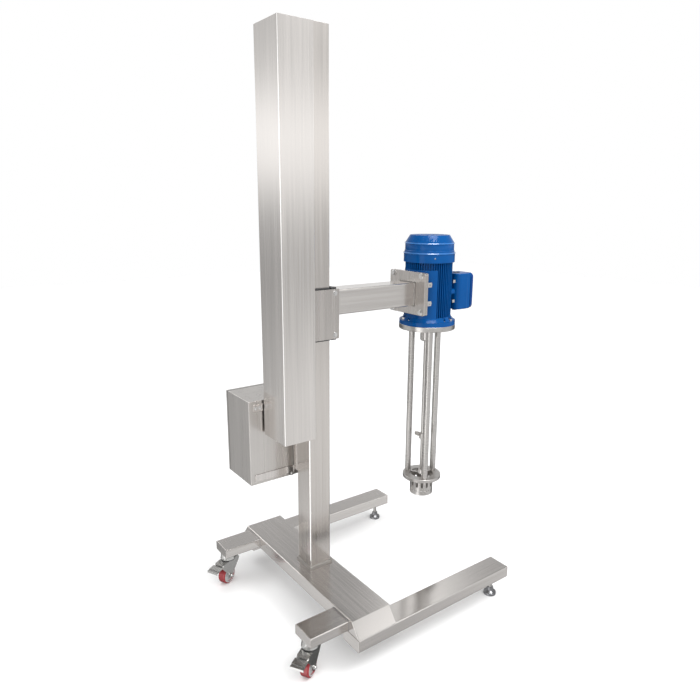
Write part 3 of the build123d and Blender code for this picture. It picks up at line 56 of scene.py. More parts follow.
# %% A socket that understands sums
class Wire:
    def __init__(self, tree, socket):
        self.tree, self.socket = tree, socket

    def _sum(self, operation, *terms):
        return node(self.tree, "ShaderNodeMath", {"operation": operation}, dict(enumerate(terms)))

    def __add__(self, other):
        return self._sum("ADD", self, other)

    def __sub__(self, other):
        return self._sum("SUBTRACT", self, other)

    def __rsub__(self, other):
        return self._sum("SUBTRACT", other, self)

    def __mul__(self, other):
        return self._sum("MULTIPLY", self, other)

    def __truediv__(self, other):
        return self._sum("DIVIDE", self, other)

    def __pow__(self, other):
        return self._sum("POWER", self, other)

    def clamp(self):
        return node(self.tree, "ShaderNodeClamp", {}, {"Value": self})


def node(tree, kind, settings, inputs, output=0):
    """Adds a node, sets its settings and then its sockets, and returns one output as a Wire."""
    made = tree.nodes.new(kind)
    for name, value in settings.items():
        if name == "stops":
            ramp = made.color_ramp
            for index, (place, colour) in enumerate(value):
                stop = ramp.elements[index] if index < 2 else ramp.elements.new(place)
                stop.position = place
                stop.color = colour
        else:
            setattr(made, name, value)
    for name, value in inputs.items():
        if isinstance(value, Wire):
            tree.links.new(value.socket, made.inputs[name])
        else:
            made.inputs[name].default_value = value
    return Wire(tree, made.outputs[output])


def rgb(r, g, b):
    return (r, g, b, 1.0)


def grey(value):
    return rgb(value, value, value)


def scaled(colour, factor, lift=0.0):
    """A colour made darker or lighter by a factor, then lifted towards white."""
    return rgb(*[min(1.0, c * factor + lift) for c in colour])


def mixed(tree, factor, first, second):
    """A Mix node between two colours, steered by a wire or a number from 0 to 1."""
    return node(tree, "ShaderNodeMix", {"data_type": "RGBA"}, {0: factor, 6: first, 7: second}, 2)


print("Wire and node() are ready")

# %% [markdown]
# # A finish is a Principled shader with a few wired sockets
# Blender's Principled shader covers all finishes here. A value that is the same all over
# goes straight on its socket. What changes over the surface, such as brush lines, comes in
# as a wire. The pattern sits in object coordinates, which for these pieces are metres in
# the machine's own frame, so the brush lines keep their real size and move with the piece.

# %% Starting a finish
bump_depth = 0.0001


class Finish:
    def __init__(self, name, colour, roughness, metallic=0.0, coat=0.0, coat_roughness=0.1,
                 specular=0.5):
        self.material = bpy.data.materials.new(name)
        self.material.use_nodes = True
        self.tree = self.material.node_tree
        self.shader = self.tree.nodes["Principled BSDF"]
        self.shader.inputs["Metallic"].default_value = metallic
        self.shader.inputs["Base Color"].default_value = rgb(*colour)
        self.shader.inputs["Roughness"].default_value = roughness
        self.shader.inputs["Coat Weight"].default_value = coat
        self.shader.inputs["Coat Roughness"].default_value = coat_roughness
        self.shader.inputs["Specular IOR Level"].default_value = specular
        self.place = node(self.tree, "ShaderNodeTexCoord", {}, {}, "Object")

    def noise(self, stretch, detail=3.0, roughness=0.55, shift=(0.0, 0.0, 0.0)):
        """Noise whose lumps are 1/stretch metres long along each axis."""
        moved = node(self.tree, "ShaderNodeVectorMath", {"operation": "MULTIPLY_ADD"},
                     {0: self.place, 1: stretch, 2: shift})
        return node(self.tree, "ShaderNodeTexNoise", {},
                    {"Vector": moved, "Scale": 1.0, "Detail": detail, "Roughness": roughness})

    def set(self, **wires):
        for name, wire in wires.items():
            self.tree.links.new(wire.socket, self.shader.inputs[name.replace("_", " ")])

    def bump(self, height, strength):
        """Tips the surface's normal by a height wire."""
        settings = {"Height": height, "Distance": bump_depth, "Strength": strength}
        self.set(Normal=node(self.tree, "ShaderNodeBump", {}, settings))


print("Finish is ready")

# %% [markdown]
# # Brushed stainless steel
# The stand is folded and welded from sheet with a satin brush finish. The belt leaves fine
# lines along each tube, so the lines run up the mast, along the legs and across the beam.
# A real brush line is far finer than a pixel, and what the eye sees is bundles of lines.
# Stretched noise in two sizes gives both, changing roughness and colour a little. The folds
# get a much lighter steel colour of their own, a painted highlight for the bright line along
# them.

# %% The brushed finishes, one for each direction
def brushed(name, grain, colour=(0.72, 0.69, 0.665), roughness=0.20, contrast=0.10):
    """Brushed steel whose lines run along the grain axis."""
    finish = Finish(name, colour, roughness, metallic=1.0)
    across, along, lines_in_band = 150.0, 2.2, 5
    fine, wide = [across] * 3, [across / lines_in_band] * 3
    fine[grain], wide[grain] = along, along / 2
    lines = finish.noise(fine, detail=1.5)
    bands = finish.noise(wide, detail=1.0, shift=(3.1, 7.7, 1.3))
    clouds = finish.noise((2.5, 2.5, 2.5), detail=2.0)
    mark = (lines * 0.6 + bands * 0.4 - 0.5) * 2.0
    darker, lighter = scaled(colour, 1 - contrast), scaled(colour, 1 + contrast)
    finish.set(Base_Color=mixed(finish.tree, (mark * 0.9 + 0.5).clamp(), darker, lighter))
    finish.set(Roughness=mark * 0.10 + clouds * 0.08 + (roughness - 0.04))
    finish.bump(lines, 0.012)
    return finish.material


X, Y, Z = 0, 1, 2
steel_up = brushed("steel_brushed_upright", Z)
steel_along = brushed("steel_brushed_lengthwise", X)
steel_across = brushed("steel_brushed_crosswise", Y)
steel_column = brushed("steel_brushed_column", Z, colour=(0.67, 0.635, 0.605))
steel_plate = brushed("steel_brushed_plate", Z, colour=(0.57, 0.54, 0.515), roughness=0.26)
steel_box = brushed("steel_brushed_box", Z, colour=(0.66, 0.635, 0.61), roughness=0.30)
# The fold colour is a painted highlight: far lighter than the sheet, it draws a bright line along
# each fold.
painted_highlight_fold_steel = brushed(
    "steel_fold_painted_highlight", Z, colour=(0.93, 0.91, 0.89), roughness=0.17, contrast=0.04)
print("seven brushed finishes")

# %% [markdown]
# # Turned steel and plating
# The mixing tool is turned on a lathe and finely finished, for food and chemicals. Very fine
# rings round the axis keep its mirror from looking like glass. Bolts, zinc plate, bronze and
# weld metal are made in the same way, with fewer rings and other colours.

# %% The turned finish and its relatives
def turned(name, colour, roughness, rings=900.0):
    """Metal with rings round the upright axis, so many to a metre, and faint stains."""
    finish = Finish(name, colour, roughness, metallic=1.0)
    ring = finish.noise((6.0, 6.0, rings), detail=2.0)
    stain = finish.noise((14.0, 14.0, 14.0))
    finish.set(Roughness=ring * 0.08 + stain * 0.07 + (roughness - 0.07))
    finish.set(Base_Color=mixed(finish.tree, stain, scaled(colour, 0.86), rgb(*colour)))
    finish.bump(ring, 0.10)
    return finish.material


steel_turned = turned("steel_turned", (0.62, 0.60, 0.58), 0.28)
steel_bolt = turned("steel_bolt", (0.78, 0.77, 0.76), 0.24, rings=300.0)
zinc = turned("zinc_plated", (0.62, 0.615, 0.60), 0.22, rings=60.0)
dark_zinc = turned("zinc_dark", (0.26, 0.26, 0.27), 0.34)
bronze = turned("bronze", (0.62, 0.45, 0.22), 0.30)
weld = turned("weld_bead", (0.40, 0.38, 0.36), 0.42, rings=240.0)
print("turned steel, bolts, zinc, bronze and weld metal")

# %% [markdown]
# # Blue enamel on the cast motor
# The motor is die cast and sprayed with enamel. The paint lies a little uneven, like the skin
# of an orange, and its colour clouds slightly. A coat layer gives the gloss its own sharp
# highlight over the softer colour. The beads of the cowl stand proud, with a full coat and a
# lighter blue that is a painted highlight, and the lid is a shade darker than the rest.

# %% The enamel
def enamel(name, colour, roughness=0.32, coat=0.25):
    finish = Finish(name, colour, roughness, coat=coat, coat_roughness=0.05, specular=0.05)
    peel = finish.noise((420.0, 420.0, 420.0), detail=2.0)
    cloud = finish.noise((9.0, 9.0, 9.0))
    finish.set(Base_Color=mixed(finish.tree, cloud, scaled(colour, 0.72), scaled(colour, 1.15)))
    finish.set(Roughness=cloud * 0.12 + (roughness - 0.06))
    finish.bump(peel, 0.04)
    return finish.material


blue = enamel("blue_enamel", (0.001, 0.072, 0.265))
blue_dark = enamel("blue_enamel_lid", (0.003, 0.045, 0.20), 0.38)
# The beads' lighter blue is a painted highlight along the cowl's rings.
blue_bead_painted_highlight = enamel("blue_enamel_bead_painted_highlight", (0.030, 0.150, 0.42), 0.24, coat=1.0)
print("three blue enamels")

# %% [markdown]
# # Plastics and rubber
# Moulded plastic has a faint grain, a soft sheen and slightly faded patches. The caster
# treads are red polyurethane, which is smoother and has a gloss of its own.

# %% The plastics
def moulded(name, colour, roughness, grain=1400.0, coat=0.0):
    """Plastic or rubber with so many grains to a metre."""
    finish = Finish(name, colour, roughness, coat=coat)
    dots = finish.noise((grain, grain, grain), detail=1.0)
    wear = finish.noise((40.0, 40.0, 40.0), detail=4.0)
    finish.set(Base_Color=mixed(finish.tree, wear, scaled(colour, 0.8, lift=0.03), rgb(*colour)))
    finish.set(Roughness=wear * 0.16 + (roughness - 0.08))
    finish.bump(dots, 0.3)
    return finish.material


black_plastic = moulded("black_plastic", (0.022, 0.022, 0.024), 0.45)
grey_plastic = moulded("grey_plastic", (0.42, 0.43, 0.44), 0.5)
hub_plastic = moulded("hub_plastic", (0.58, 0.585, 0.59), 0.34)
red_tread = moulded("red_tread", (0.36, 0.006, 0.014), 0.22, grain=500.0, coat=0.35)
red_plastic = moulded("red_plastic", (0.55, 0.014, 0.012), 0.25, coat=0.4)
green_plastic = moulded("green_plastic", (0.012, 0.30, 0.075), 0.25, coat=0.4)
black_rubber = moulded("black_rubber", (0.03, 0.03, 0.032), 0.7)
black_steel = moulded("black_lacquer", (0.035, 0.035, 0.038), 0.4, coat=0.2)
print("plastics, rubber and lacquer")

# %% [markdown]
# # Soft edges on the CAD solids
# A folded or milled edge always has a small radius, and that radius catches a bright line of
# light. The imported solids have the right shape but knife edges. Each is copied, its flat
# triangles are joined back into whole faces, and a Bevel modifier rounds the real edges.
# The copy stands for the solid from then on.

# %% A helper that dresses a solid
sharp_angle = math.radians(35)
fold_angle, square_angle = 0.5, 1.4  # radians between two faces
broad_area = 0.003  # square metres
round_cornered = ("column", "mast_cover")


def add(name, mesh):
    piece = bpy.data.objects.new(name, mesh)
    bpy.context.scene.collection.objects.link(piece)
    return piece


def body_of(solid):
    for body, members in frame["record"]["behaviour"]["bodies"].items():
        if solid in members:
            return body


def rounded(piece, width):
    """A Bevel modifier on the sharp edges."""
    bevel = piece.modifiers.new("rounded_edges", "BEVEL")
    bevel.width = width
    bevel.segments = 2
    bevel.limit_method = "ANGLE"
    bevel.angle_limit = sharp_angle
    bevel.miter_outer = "MITER_ARC"


def flattened(piece):
    """Large faces keep their own normal, so that flat sheet mirrors as flat sheet."""
    weighted = piece.modifiers.new("flat_faces", "WEIGHTED_NORMAL")
    weighted.mode = "FACE_AREA"
    weighted.weight = 50
    weighted.keep_sharp = True


def folded(work, radius, rim):
    """Rounds the outer edges between broad faces, or with rim those of the broadest face.

    The rounding is marked for the second material."""
    if rim:
        broadest = max(work.faces, key=lambda face: face.calc_area())
        folds = [edge for edge in broadest.edges
                 if edge.is_convex and edge.calc_face_angle(0) > square_angle]
    else:
        folds = [edge for edge in work.edges
                 if len(edge.link_faces) == 2 and edge.is_convex
                 and edge.calc_face_angle(0) > fold_angle
                 and min(face.calc_area() for face in edge.link_faces) > broad_area]
    bent = bmesh.ops.bevel(work, geom=folds, offset=radius, segments=3, profile=0.5,
                           affect="EDGES", clamp_overlap=False)
    for face in bent["faces"]:
        face.material_index = 1


def dress(solid, material, width, fold=0.0, rim=False):
    """Copies a CAD solid, rounds its edges and lets the copy stand for it.

    With fold, the folds get that radius and a lighter colour, a painted highlight. The tubes
    that have round corners in CAD get the same painted highlight there."""
    mesh = frame["nodes"][solid].data.copy()
    work = bmesh.new()
    work.from_mesh(mesh)
    bmesh.ops.remove_doubles(work, verts=work.verts, dist=0.00002)
    bmesh.ops.dissolve_limit(work, angle_limit=math.radians(0.6),
                             verts=work.verts, edges=work.edges)
    if fold:
        folded(work, fold, rim)
    work.to_mesh(mesh)
    work.free()
    if "custom_normal" in mesh.attributes:
        mesh.attributes.remove(mesh.attributes["custom_normal"])
    mesh.materials.clear()
    mesh.materials.append(material)
    # Folds and round CAD corners take the painted highlight colour as a second material.
    if fold or solid in round_cornered:
        mesh.materials.append(painted_highlight_fold_steel)
    if solid in round_cornered:
        for face in mesh.polygons:
            slanting = max(map(abs, face.normal)) < 0.90
            upright = abs(face.normal.z) < 0.1
            face.material_index = int(slanting and upright)
    mesh.shade_smooth()
    mesh.set_sharp_from_angle(angle=sharp_angle)
    piece = add(solid + "_finished", mesh)
    if width:
        rounded(piece, width)
    flattened(piece)
    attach(piece, body_of(solid))
    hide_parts(solid)


print("dress() is ready")

# %% [markdown]
# # Small pieces built here
# Washers, weld beads, beads on the fan cowl, threads and rubber soles are too fine for the
# CAD solids, yet they're what makes a machine look made. Each is built in mesh code with one
# of four tools. revolve() sweeps a profile round an axis, as a lathe does. prism() extrudes
# an outline. bead() lays a weld along a path. thread() winds a ridge round a screw.

# %% Finishing a mesh and letting it ride
def built(name, work, material, solid, sharp=40):
    """Turns a bmesh into a piece that rides on the body of a CAD solid."""
    bmesh.ops.remove_doubles(work, verts=work.verts, dist=0.00001)
    bmesh.ops.recalc_face_normals(work, faces=work.faces)
    mesh = bpy.data.meshes.new(name)
    work.to_mesh(mesh)
    work.free()
    mesh.materials.append(material)
    mesh.shade_smooth()
    mesh.set_sharp_from_angle(angle=math.radians(sharp))
    piece = add(name, mesh)
    flattened(piece)
    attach(piece, body_of(solid))


def turn_to(axis):
    return Vector(axis).to_track_quat("Z", "Y").to_matrix()


def polygon(radius, count, turn=0.0):
    """The corners of a regular polygon, or the points of a circle."""
    bearings = [math.tau * k / count + turn for k in range(count)]
    return [(radius * math.cos(bearing), radius * math.sin(bearing)) for bearing in bearings]


def joined(work, rings):
    """Faces between each closed ring of points and the next."""
    for low, high in zip(rings, rings[1:]):
        for k in range(len(low)):
            work.faces.new((low[k - 1], low[k], high[k], high[k - 1]))


# %% A lathe and a cutter
def revolve(work, profile, place, axis=(0, 0, 1), steps=32):
    """Sweeps a profile of (radius, distance along) round an axis through a place."""
    turn = turn_to(axis)
    joined(work, [
        [work.verts.new(Vector(place) + turn @ Vector((x, y, along)))
         for x, y in polygon(radius, steps)]
        for radius, along in profile])


def prism(work, outline, place, axis, depth, chamfer):
    """Extrudes an outline along an axis, with a chamfer round its far end."""
    turn = turn_to(axis)
    middle = sum((Vector(spot) for spot in outline), Vector((0, 0))) / len(outline)
    shrink = 1 - chamfer / max((Vector(spot) - middle).length for spot in outline)
    rings = []
    for along, size in ((0.0, 1.0), (depth - chamfer, 1.0), (depth, shrink)):
        flat = [middle + (Vector(spot) - middle) * size for spot in outline]
        rings.append([work.verts.new(Vector(place) + turn @ Vector((x, y, along)))
                      for x, y in flat])
    joined(work, rings)
    work.faces.new(rings[0])
    work.faces.new(rings[-1])


# %% A welder and a thread cutter
drop_pitch, string_step, string_sides = 0.0042, 0.0014, 8


def bead(work, corners, radius):
    """A weld round a closed path: a string that swells and thins with each laid drop."""
    path = [Vector(corner) for corner in corners]
    for start, end in zip(path, path[1:] + path[:1]):
        span = end - start
        turn = turn_to(span)
        count = max(4, int(span.length / string_step))
        rings = []
        for step in range(count + 1):
            along = span.length * step / count
            size = radius * (0.72 + 0.28 * abs(math.sin(math.pi * along / drop_pitch)))
            spots = [turn @ Vector((x, y, along)) for x, y in polygon(size, string_sides)]
            rings.append([work.verts.new(start + spot) for spot in spots])
        joined(work, rings)


def thread(work, place, radius, depth, pitch, length, steps=20):
    """A ridge wound round an upright screw from a place upwards."""
    ridge = ((-depth, -0.45), (0.0, -0.12), (0.0, 0.12), (-depth, 0.45))
    rows = []
    for k in range(int(length / pitch * steps)):
        around = math.tau * k / steps
        level = pitch * k / steps
        row = []
        for grow, lift in ridge:
            reach = radius + grow
            spot = (reach * math.cos(around), reach * math.sin(around), level + lift * pitch)
            row.append(work.verts.new(Vector(place) + Vector(spot)))
        rows.append(row)
    for low, high in zip(rows, rows[1:]):
        for k in range(len(ridge) - 1):
            work.faces.new((low[k], high[k], high[k + 1], low[k + 1]))


def islands(solid):
    """The lowest and highest corner of each loose lump in a CAD solid's mesh, in one order."""
    work = bmesh.new()
    work.from_mesh(frame["nodes"][solid].data)
    bmesh.ops.remove_doubles(work, verts=work.verts, dist=0.00001)
    left, lumps = set(work.verts), []
    while left:
        reached, lump = [left.pop()], []
        while reached:
            vert = reached.pop()
            lump.append(vert.co.copy())
            for edge in vert.link_edges:
                other = edge.other_vert(vert)
                if other in left:
                    left.discard(other)
                    reached.append(other)
        lumps.append([Vector(ends(spot[k] for spot in lump) for k in range(3))
                      for ends in (min, max)])
    work.free()
    return sorted(lumps, key=lambda lump: tuple(lump[0]))


print("revolve(), prism(), bead() and thread() are ready")

# %% [markdown]
# # The stand
# Column, mast cover, beam, legs and stubs are sheet and tube. The folds of beam, legs and
# stubs have a radius of about three millimetres and a painted highlight. The corners of column
# and cover are round in CAD already and get the painted highlight too. Cut edges are only broken.

# %% Dress the stand
dress("base_beam", steel_across, 0.0008, fold=0.0036)
for solid in ("front_leg_near", "front_leg_far", "rear_stubs"):
    dress(solid, steel_along, 0.0008, fold=0.0026)
for solid, material, width in (
    ("end_plates", steel_across, 0.0010),
    ("column", steel_column, 0.0010),
    ("mast_cover", steel_up, 0.0006),
    ("case_bracket", steel_up, 0.0008),
    ("drive_plate", steel_across, 0.0008),
    ("screw_bearing", steel_across, 0.0008),
    ("lift_gearmotor", black_steel, 0.0015),
    ("caster_necks", zinc, 0.0006),
    ("mounting_panel", zinc, 0.0004),
    ("inverter_drive", black_plastic, 0.0010),
    ("terminal_row", grey_plastic, 0.0006),
):
    dress(solid, material, width)
print("stand dressed")

# %% [markdown]
# # The carriage, the mixer and the lead screw
# Carriage, arm and bracket are laser cut plates and a square tube, welded and bolted. Plates
# have small even chamfers, and the tube has soft corners. The motor's castings are rounder,
# and the turned tool keeps crisp edges.

# %% Dress the carriage and the mixer
for solid, material, width in (
    ("carriage_cross_plates", steel_up, 0.0010),
    ("carriage_side_plates", steel_plate, 0.0010),
    ("guide_pads", black_plastic, 0.0015),
    ("carriage_bolts", steel_bolt, 0.0008),
    ("lead_nut", bronze, 0.0010),
    ("lift_arm", steel_along, 0.0008),
    ("arm_plate", steel_plate, 0.0012),
    ("motor_plate", steel_plate, 0.0012),
    ("bracket_bolts", steel_bolt, 0.0010),
    ("motor_housing", blue, 0.0008),
    ("motor_feet", steel_bolt, 0.0012),
    ("drive_end_flange", blue, 0.0015),
    ("fan_cowl", blue, 0.0012),
    ("terminal_box", blue, 0.0015),
    ("terminal_lid", blue_dark, 0.0012),
    ("foot_bolts", steel_bolt, 0.0010),
    ("flange_bolts", steel_bolt, 0.0010),
    ("cooling_fan", black_plastic, 0.0008),
    ("motor_rotor", steel_turned, 0.0010),
    ("tool_flange", steel_turned, 0.0010),
    ("seal_housing", steel_turned, 0.0008),
    ("tie_rods", steel_turned, 0.0008),
    ("lower_ring", steel_turned, 0.0010),
    ("stator_head", steel_turned, 0.0006),
    ("mixing_shaft", steel_turned, 0.0008),
    ("propeller", steel_turned, 0.0008),
    ("rotor_head", steel_turned, 0.0006),
    ("lead_screw", steel_turned, 0.0),
):
    dress(solid, material, width)
print("carriage and mixer dressed")

# %% [markdown]
# # Running gear and the control box
# The casters have a pressed zinc fork, a red tread and a brake pedal. The control box is
# folded stainless sheet, with its controls on the door. Its folds lie round its broad back.

# %% Dress the casters, feet and control box
for side in ("near", "far"):
    dress(f"caster_fork_{side}", zinc, 0.0008)
    dress(f"caster_wheel_{side}", red_tread, 0.0010)
    dress(f"brake_pedal_{side}", zinc, 0.0008)
    dress(f"levelling_foot_{side}", dark_zinc, 0.0012)
# The box's folds get the painted highlight colour.
dress("control_case", steel_box, 0.0004, fold=0.0019, rim=True)
dress("control_door", steel_box, 0.0005)
for solid, material, width in (
    ("door_lock", steel_bolt, 0.0006),
    ("control_bezels", zinc, 0.0008),
    ("start_button", green_plastic, 0.0006),
    ("stop_button", red_plastic, 0.0006),
    ("emergency_stop", red_plastic, 0.0010),
    ("speed_knob", black_plastic, 0.0008),
    ("lift_selector", black_plastic, 0.0008),
):
    dress(solid, material, width)
print("running gear and control box dressed")

# %% [markdown]
# # Wheels in two materials
# A caster wheel is a light grey hub with a red polyurethane tread cast round it. The solid
# is one piece, so the faces of its hub get a second material, by how far they lie from the
# axle. The tread keeps the outer third. Each caster also gets the seal of its swivel bearing
# and the two domed nuts of its axle.

# %% Give the wheels their hubs, seals and nuts
caster_headings = {"near": 32, "far": 26}
hub_share, nut_share = 0.64, 0.33
seal = [(0.0300, -0.0040), (0.0317, -0.0034), (0.0317, -0.0006), (0.0300, 0.0)]
domed_nut = [
    (0.0, 0.0072), (0.0032, 0.0068), (0.0058, 0.0040),
    (0.0068, 0.0), (0.0105, 0.0), (0.0105, -0.0012)]


def swivel_of(side):
    """The upright axis of a caster, from the middle of its neck."""
    necks = sorted(islands("caster_necks"), key=lambda lump: lump[0].y)
    low, high = necks[0 if side == "near" else 1]
    return (low.x + high.x) / 2, (low.y + high.y) / 2


for side, degrees in caster_headings.items():
    wheel = bpy.data.objects[f"caster_wheel_{side}_finished"]
    low, high = (Vector(corner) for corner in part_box(f"caster_wheel_{side}"))
    centre = (low + high) / 2
    radius = (high.z - low.z) / 2
    axle = Vector((-math.sin(math.radians(degrees)), math.cos(math.radians(degrees)), 0))
    wheel.data.materials.append(hub_plastic)
    for face in wheel.data.polygons:
        arm = face.center - centre
        arm -= axle * arm.dot(axle)
        if arm.length < radius * hub_share:
            face.material_index = 1
    x, y, seat = *swivel_of(side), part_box(f"caster_fork_{side}")[1][2]
    work = bmesh.new()
    revolve(work, seal, (x, y, seat))
    built(f"swivel_seal_{side}", work, black_rubber, f"caster_fork_{side}")
    for way in (-1, 1):
        work = bmesh.new()
        cap = centre + axle * way * (high.z - low.z) * nut_share
        revolve(work, domed_nut, cap, axle * way)
        built(f"axle_nut_{side}_{way}", work, steel_bolt, f"caster_fork_{side}")
print("wheels have hubs, seals and axle nuts")

# %% [markdown]
# # The control box's small parts
# Between case and door lies a black rubber gasket, which shows as the dark line along the
# box's back and top. Five hexagon bolts, each on its washer, hold the two rails of the case
# bracket.

# %% Lay the gasket and drive the bolts
case_low, case_high = (Vector(corner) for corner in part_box("control_case"))
proud, strip_width, strip_depth, strip_lift = 0.0004, 0.0022, 0.0018, 0.021
seam = 0.2872
left, right, top = case_low.x - proud, case_high.x, case_high.z + proud
work = bmesh.new()
for x_a, x_b, z_a, z_b in (
    (left, left + strip_width, case_low.z + strip_lift, top),
    (left, right, top - strip_width, top),
):
    outline = [(x_a, z_a), (x_b, z_a), (x_b, z_b), (x_a, z_b)]
    near, far = ([work.verts.new((x, y, z)) for x, z in outline]
                 for y in (seam, seam + strip_depth))
    work.faces.new(near)
    work.faces.new(far)
    joined(work, [near, far])
built("door_gasket", work, black_rubber, "control_case")

rail_washer = [(0.0, 0.0012), (0.0085, 0.0012), (0.0090, 0.0008), (0.0090, 0.0)]
rail_inset, rail_sheet = 0.029, 0.004
rail_face = case_low.y - rail_sheet
upper, lower = case_high.z - rail_inset, case_low.z + rail_inset
work = bmesh.new()
for x, z in ((-0.456, upper), (-0.437, upper), (-0.235, upper), (-0.295, lower), (-0.225, lower)):
    place = (x, rail_face, z)
    revolve(work, rail_washer, place, (0, -1, 0), 24)
    prism(work, polygon(0.0062, 6), place, (0, -1, 0), 0.0055, 0.0010)
built("rail_bolts", work, steel_bolt, "case_bracket")
print("gasket and rail bolts built")

# %% [markdown]
# # Welds on the stand
# The column, its foot collar, the stubs and the arm are TIG welded and left as laid, then
# brushed lightly. A bead is a row of small overlapping drops about four millimetres apart.
# The collar itself keeps the dull look of heated metal.

# %% Lay the welds
def loop_xy(box, level):
    (x0, y0, _), (x1, y1, _) = box
    return [(x0, y0, level), (x1, y0, level), (x1, y1, level), (x0, y1, level)]


def loop_yz(box, x):
    (_, y0, z0), (_, y1, z1) = box
    return [(x, y0, z0), (x, y1, z0), (x, y1, z1), (x, y0, z1)]


column_box, beam_box, arm_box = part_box("column"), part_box("base_beam"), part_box("lift_arm")
beam_top, collar_height, above_collar = beam_box[1][2], 0.0102, 0.0125
half_tube, arm_weld_inset = 0.050, 0.0014

column_mesh = bpy.data.objects["column_finished"].data
column_mesh.materials.append(weld)
for face in column_mesh.polygons:
    if face.center.z < beam_top + above_collar:
        face.material_index = 2

mast_x = (column_box[0][0] + column_box[1][0]) / 2
tube = [[mast_x - half_tube, -half_tube, 0], [mast_x + half_tube, half_tube, 0]]
work = bmesh.new()
bead(work, loop_xy(column_box, beam_top), 0.0010)
bead(work, loop_xy(tube, beam_top + collar_height), 0.0011)
built("column_welds", work, weld, "column")
work = bmesh.new()
for low, high in islands("rear_stubs"):
    bead(work, loop_yz([low, high], beam_box[0][0]), 0.0012)
built("stub_welds", work, dark_zinc, "rear_stubs")
work = bmesh.new()
bead(work, loop_yz(arm_box, arm_box[1][0] - arm_weld_inset), 0.0040)
bead(work, loop_yz(arm_box, arm_box[0][0] + arm_weld_inset), 0.0036)
built("arm_welds", work, weld, "lift_arm")
print("welds laid")

# %% [markdown]
# # Washers
# The bolts of bracket, motor feet and carriage sit on plain washers. A washer is a flat ring
# with a slight chamfer, a little wider than the bolt's head.

# %% Add the washers
def washer(work, place, axis, inner, outer, thickness=0.0014, chamfer=0.0004):
    ring = [(inner, 0.0), (inner, thickness), (outer - chamfer, thickness),
            (outer, thickness - chamfer), (outer, 0.0)]
    revolve(work, ring, place, axis, 28)


plate_back, plate_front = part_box("arm_plate")[0][0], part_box("motor_plate")[1][0]
work = bmesh.new()
for low, high in islands("bracket_bolts"):
    _, y, z = (low + high) / 2
    washer(work, (plate_back, y, z), (-1, 0, 0), 0.008, 0.0135)
    washer(work, (plate_front, y, z), (1, 0, 0), 0.008, 0.0135)
built("bracket_washers", work, steel_bolt, "bracket_bolts")
work = bmesh.new()
foot_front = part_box("motor_feet")[1][0]
for low, high in islands("foot_bolts"):
    _, y, z = (low + high) / 2
    washer(work, (foot_front, y, z), (1, 0, 0), 0.006, 0.0105)
built("foot_washers", work, steel_bolt, "foot_bolts")
work = bmesh.new()
for low, high in islands("carriage_bolts"):
    x, y, z = (low + high) / 2
    way = math.copysign(1, y)
    place = (x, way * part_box("carriage_side_plates")[1][1], z)
    washer(work, place, (0, way, 0), 0.006, 0.0105)
built("carriage_washers", work, steel_bolt, "carriage_bolts")
print("washers added")

# %% [markdown]
# # The motor's small parts
# The fan cowl is pressed steel with two stiffening beads and four screws on its band. The
# terminal box hangs on a neck with cast lugs, and its lid has moulded ribs on the outside
# and a blanked cable entry on top.

# %% Build the motor's small parts
cowl_low, cowl_high = (Vector(corner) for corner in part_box("fan_cowl"))
motor_x = (cowl_low.x + cowl_high.x) / 2
ridge = [(0.0, -0.0014), (0.0032, 0.0), (0.0032, 0.0004), (0.0004, 0.0046), (0.0, 0.0050)]
work = bmesh.new()
for radius, level in ((0.1118, 1.4888), (0.1068, 1.5308)):
    profile = [(radius + out, up) for out, up in ridge]
    revolve(work, profile, (motor_x, 0, level), steps=72)
# The beads wear the lighter enamel, a painted highlight.
built("cowl_beads", work, blue_bead_painted_highlight, "fan_cowl")

screw_head = [(0.0, 0.0020), (0.0018, 0.0018), (0.0033, 0.0008), (0.0035, -0.0004)]
band_radius, band_level = 0.1120, 1.470
work = bmesh.new()
for degrees in (-120, -30, 60, 150):
    out = Vector((math.cos(math.radians(degrees)), math.sin(math.radians(degrees)), 0))
    place = Vector((motor_x, 0, band_level)) + out * band_radius
    revolve(work, screw_head, place, out, 16)
built("cowl_screws", work, dark_zinc, "fan_cowl")

box_low, box_high = (Vector(corner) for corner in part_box("terminal_box"))
lug_outline = polygon(0.0110, 4, math.pi / 4)
work = bmesh.new()
for way in (-1, 1):
    for level in (1.268, 1.358):
        place = (box_low.x - 0.009, way * 0.030, level)
        prism(work, lug_outline, place, (0, way, 0), 0.012, 0.0015)
built("neck_lugs", work, steel_bolt, "terminal_box")

lid_low, lid_high = (Vector(corner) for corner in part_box("terminal_lid"))
rib_count, rib_inset = 15, 0.012
rib_step = (lid_high.z - lid_low.z - 2 * rib_inset) / (rib_count - 1)
rib = [(-0.044, -0.0022), (-0.044, 0.0022), (0.044, 0.0022), (0.044, -0.0022)]
work = bmesh.new()
for k in range(rib_count):
    place = (lid_high.x - 0.0016, 0, lid_low.z + rib_inset + k * rib_step)
    prism(work, rib, place, (1, 0, 0), 0.0030, 0.0008)
built("lid_ribs", work, blue_dark, "terminal_lid")

entry = ((box_low.x + box_high.x) / 2, 0, box_high.z - 0.0004)
plug = [(0.0, 0.0010), (0.0130, 0.0010), (0.0140, 0.0022), (0.0175, 0.0022), (0.0185, 0.0)]
work = bmesh.new()
revolve(work, plug, entry, steps=40)
built("cable_entry_plug", work, black_plastic, "terminal_box")
print("cowl beads, screws, lugs, lid ribs and plug built")

# %% [markdown]
# # Screws and soles
# The lead screw behind the column has a rolled trapezoidal thread of five millimetres pitch.
# Each levelling foot stands on a rubber sole under a bell shaped socket, and its stud is
# threaded.

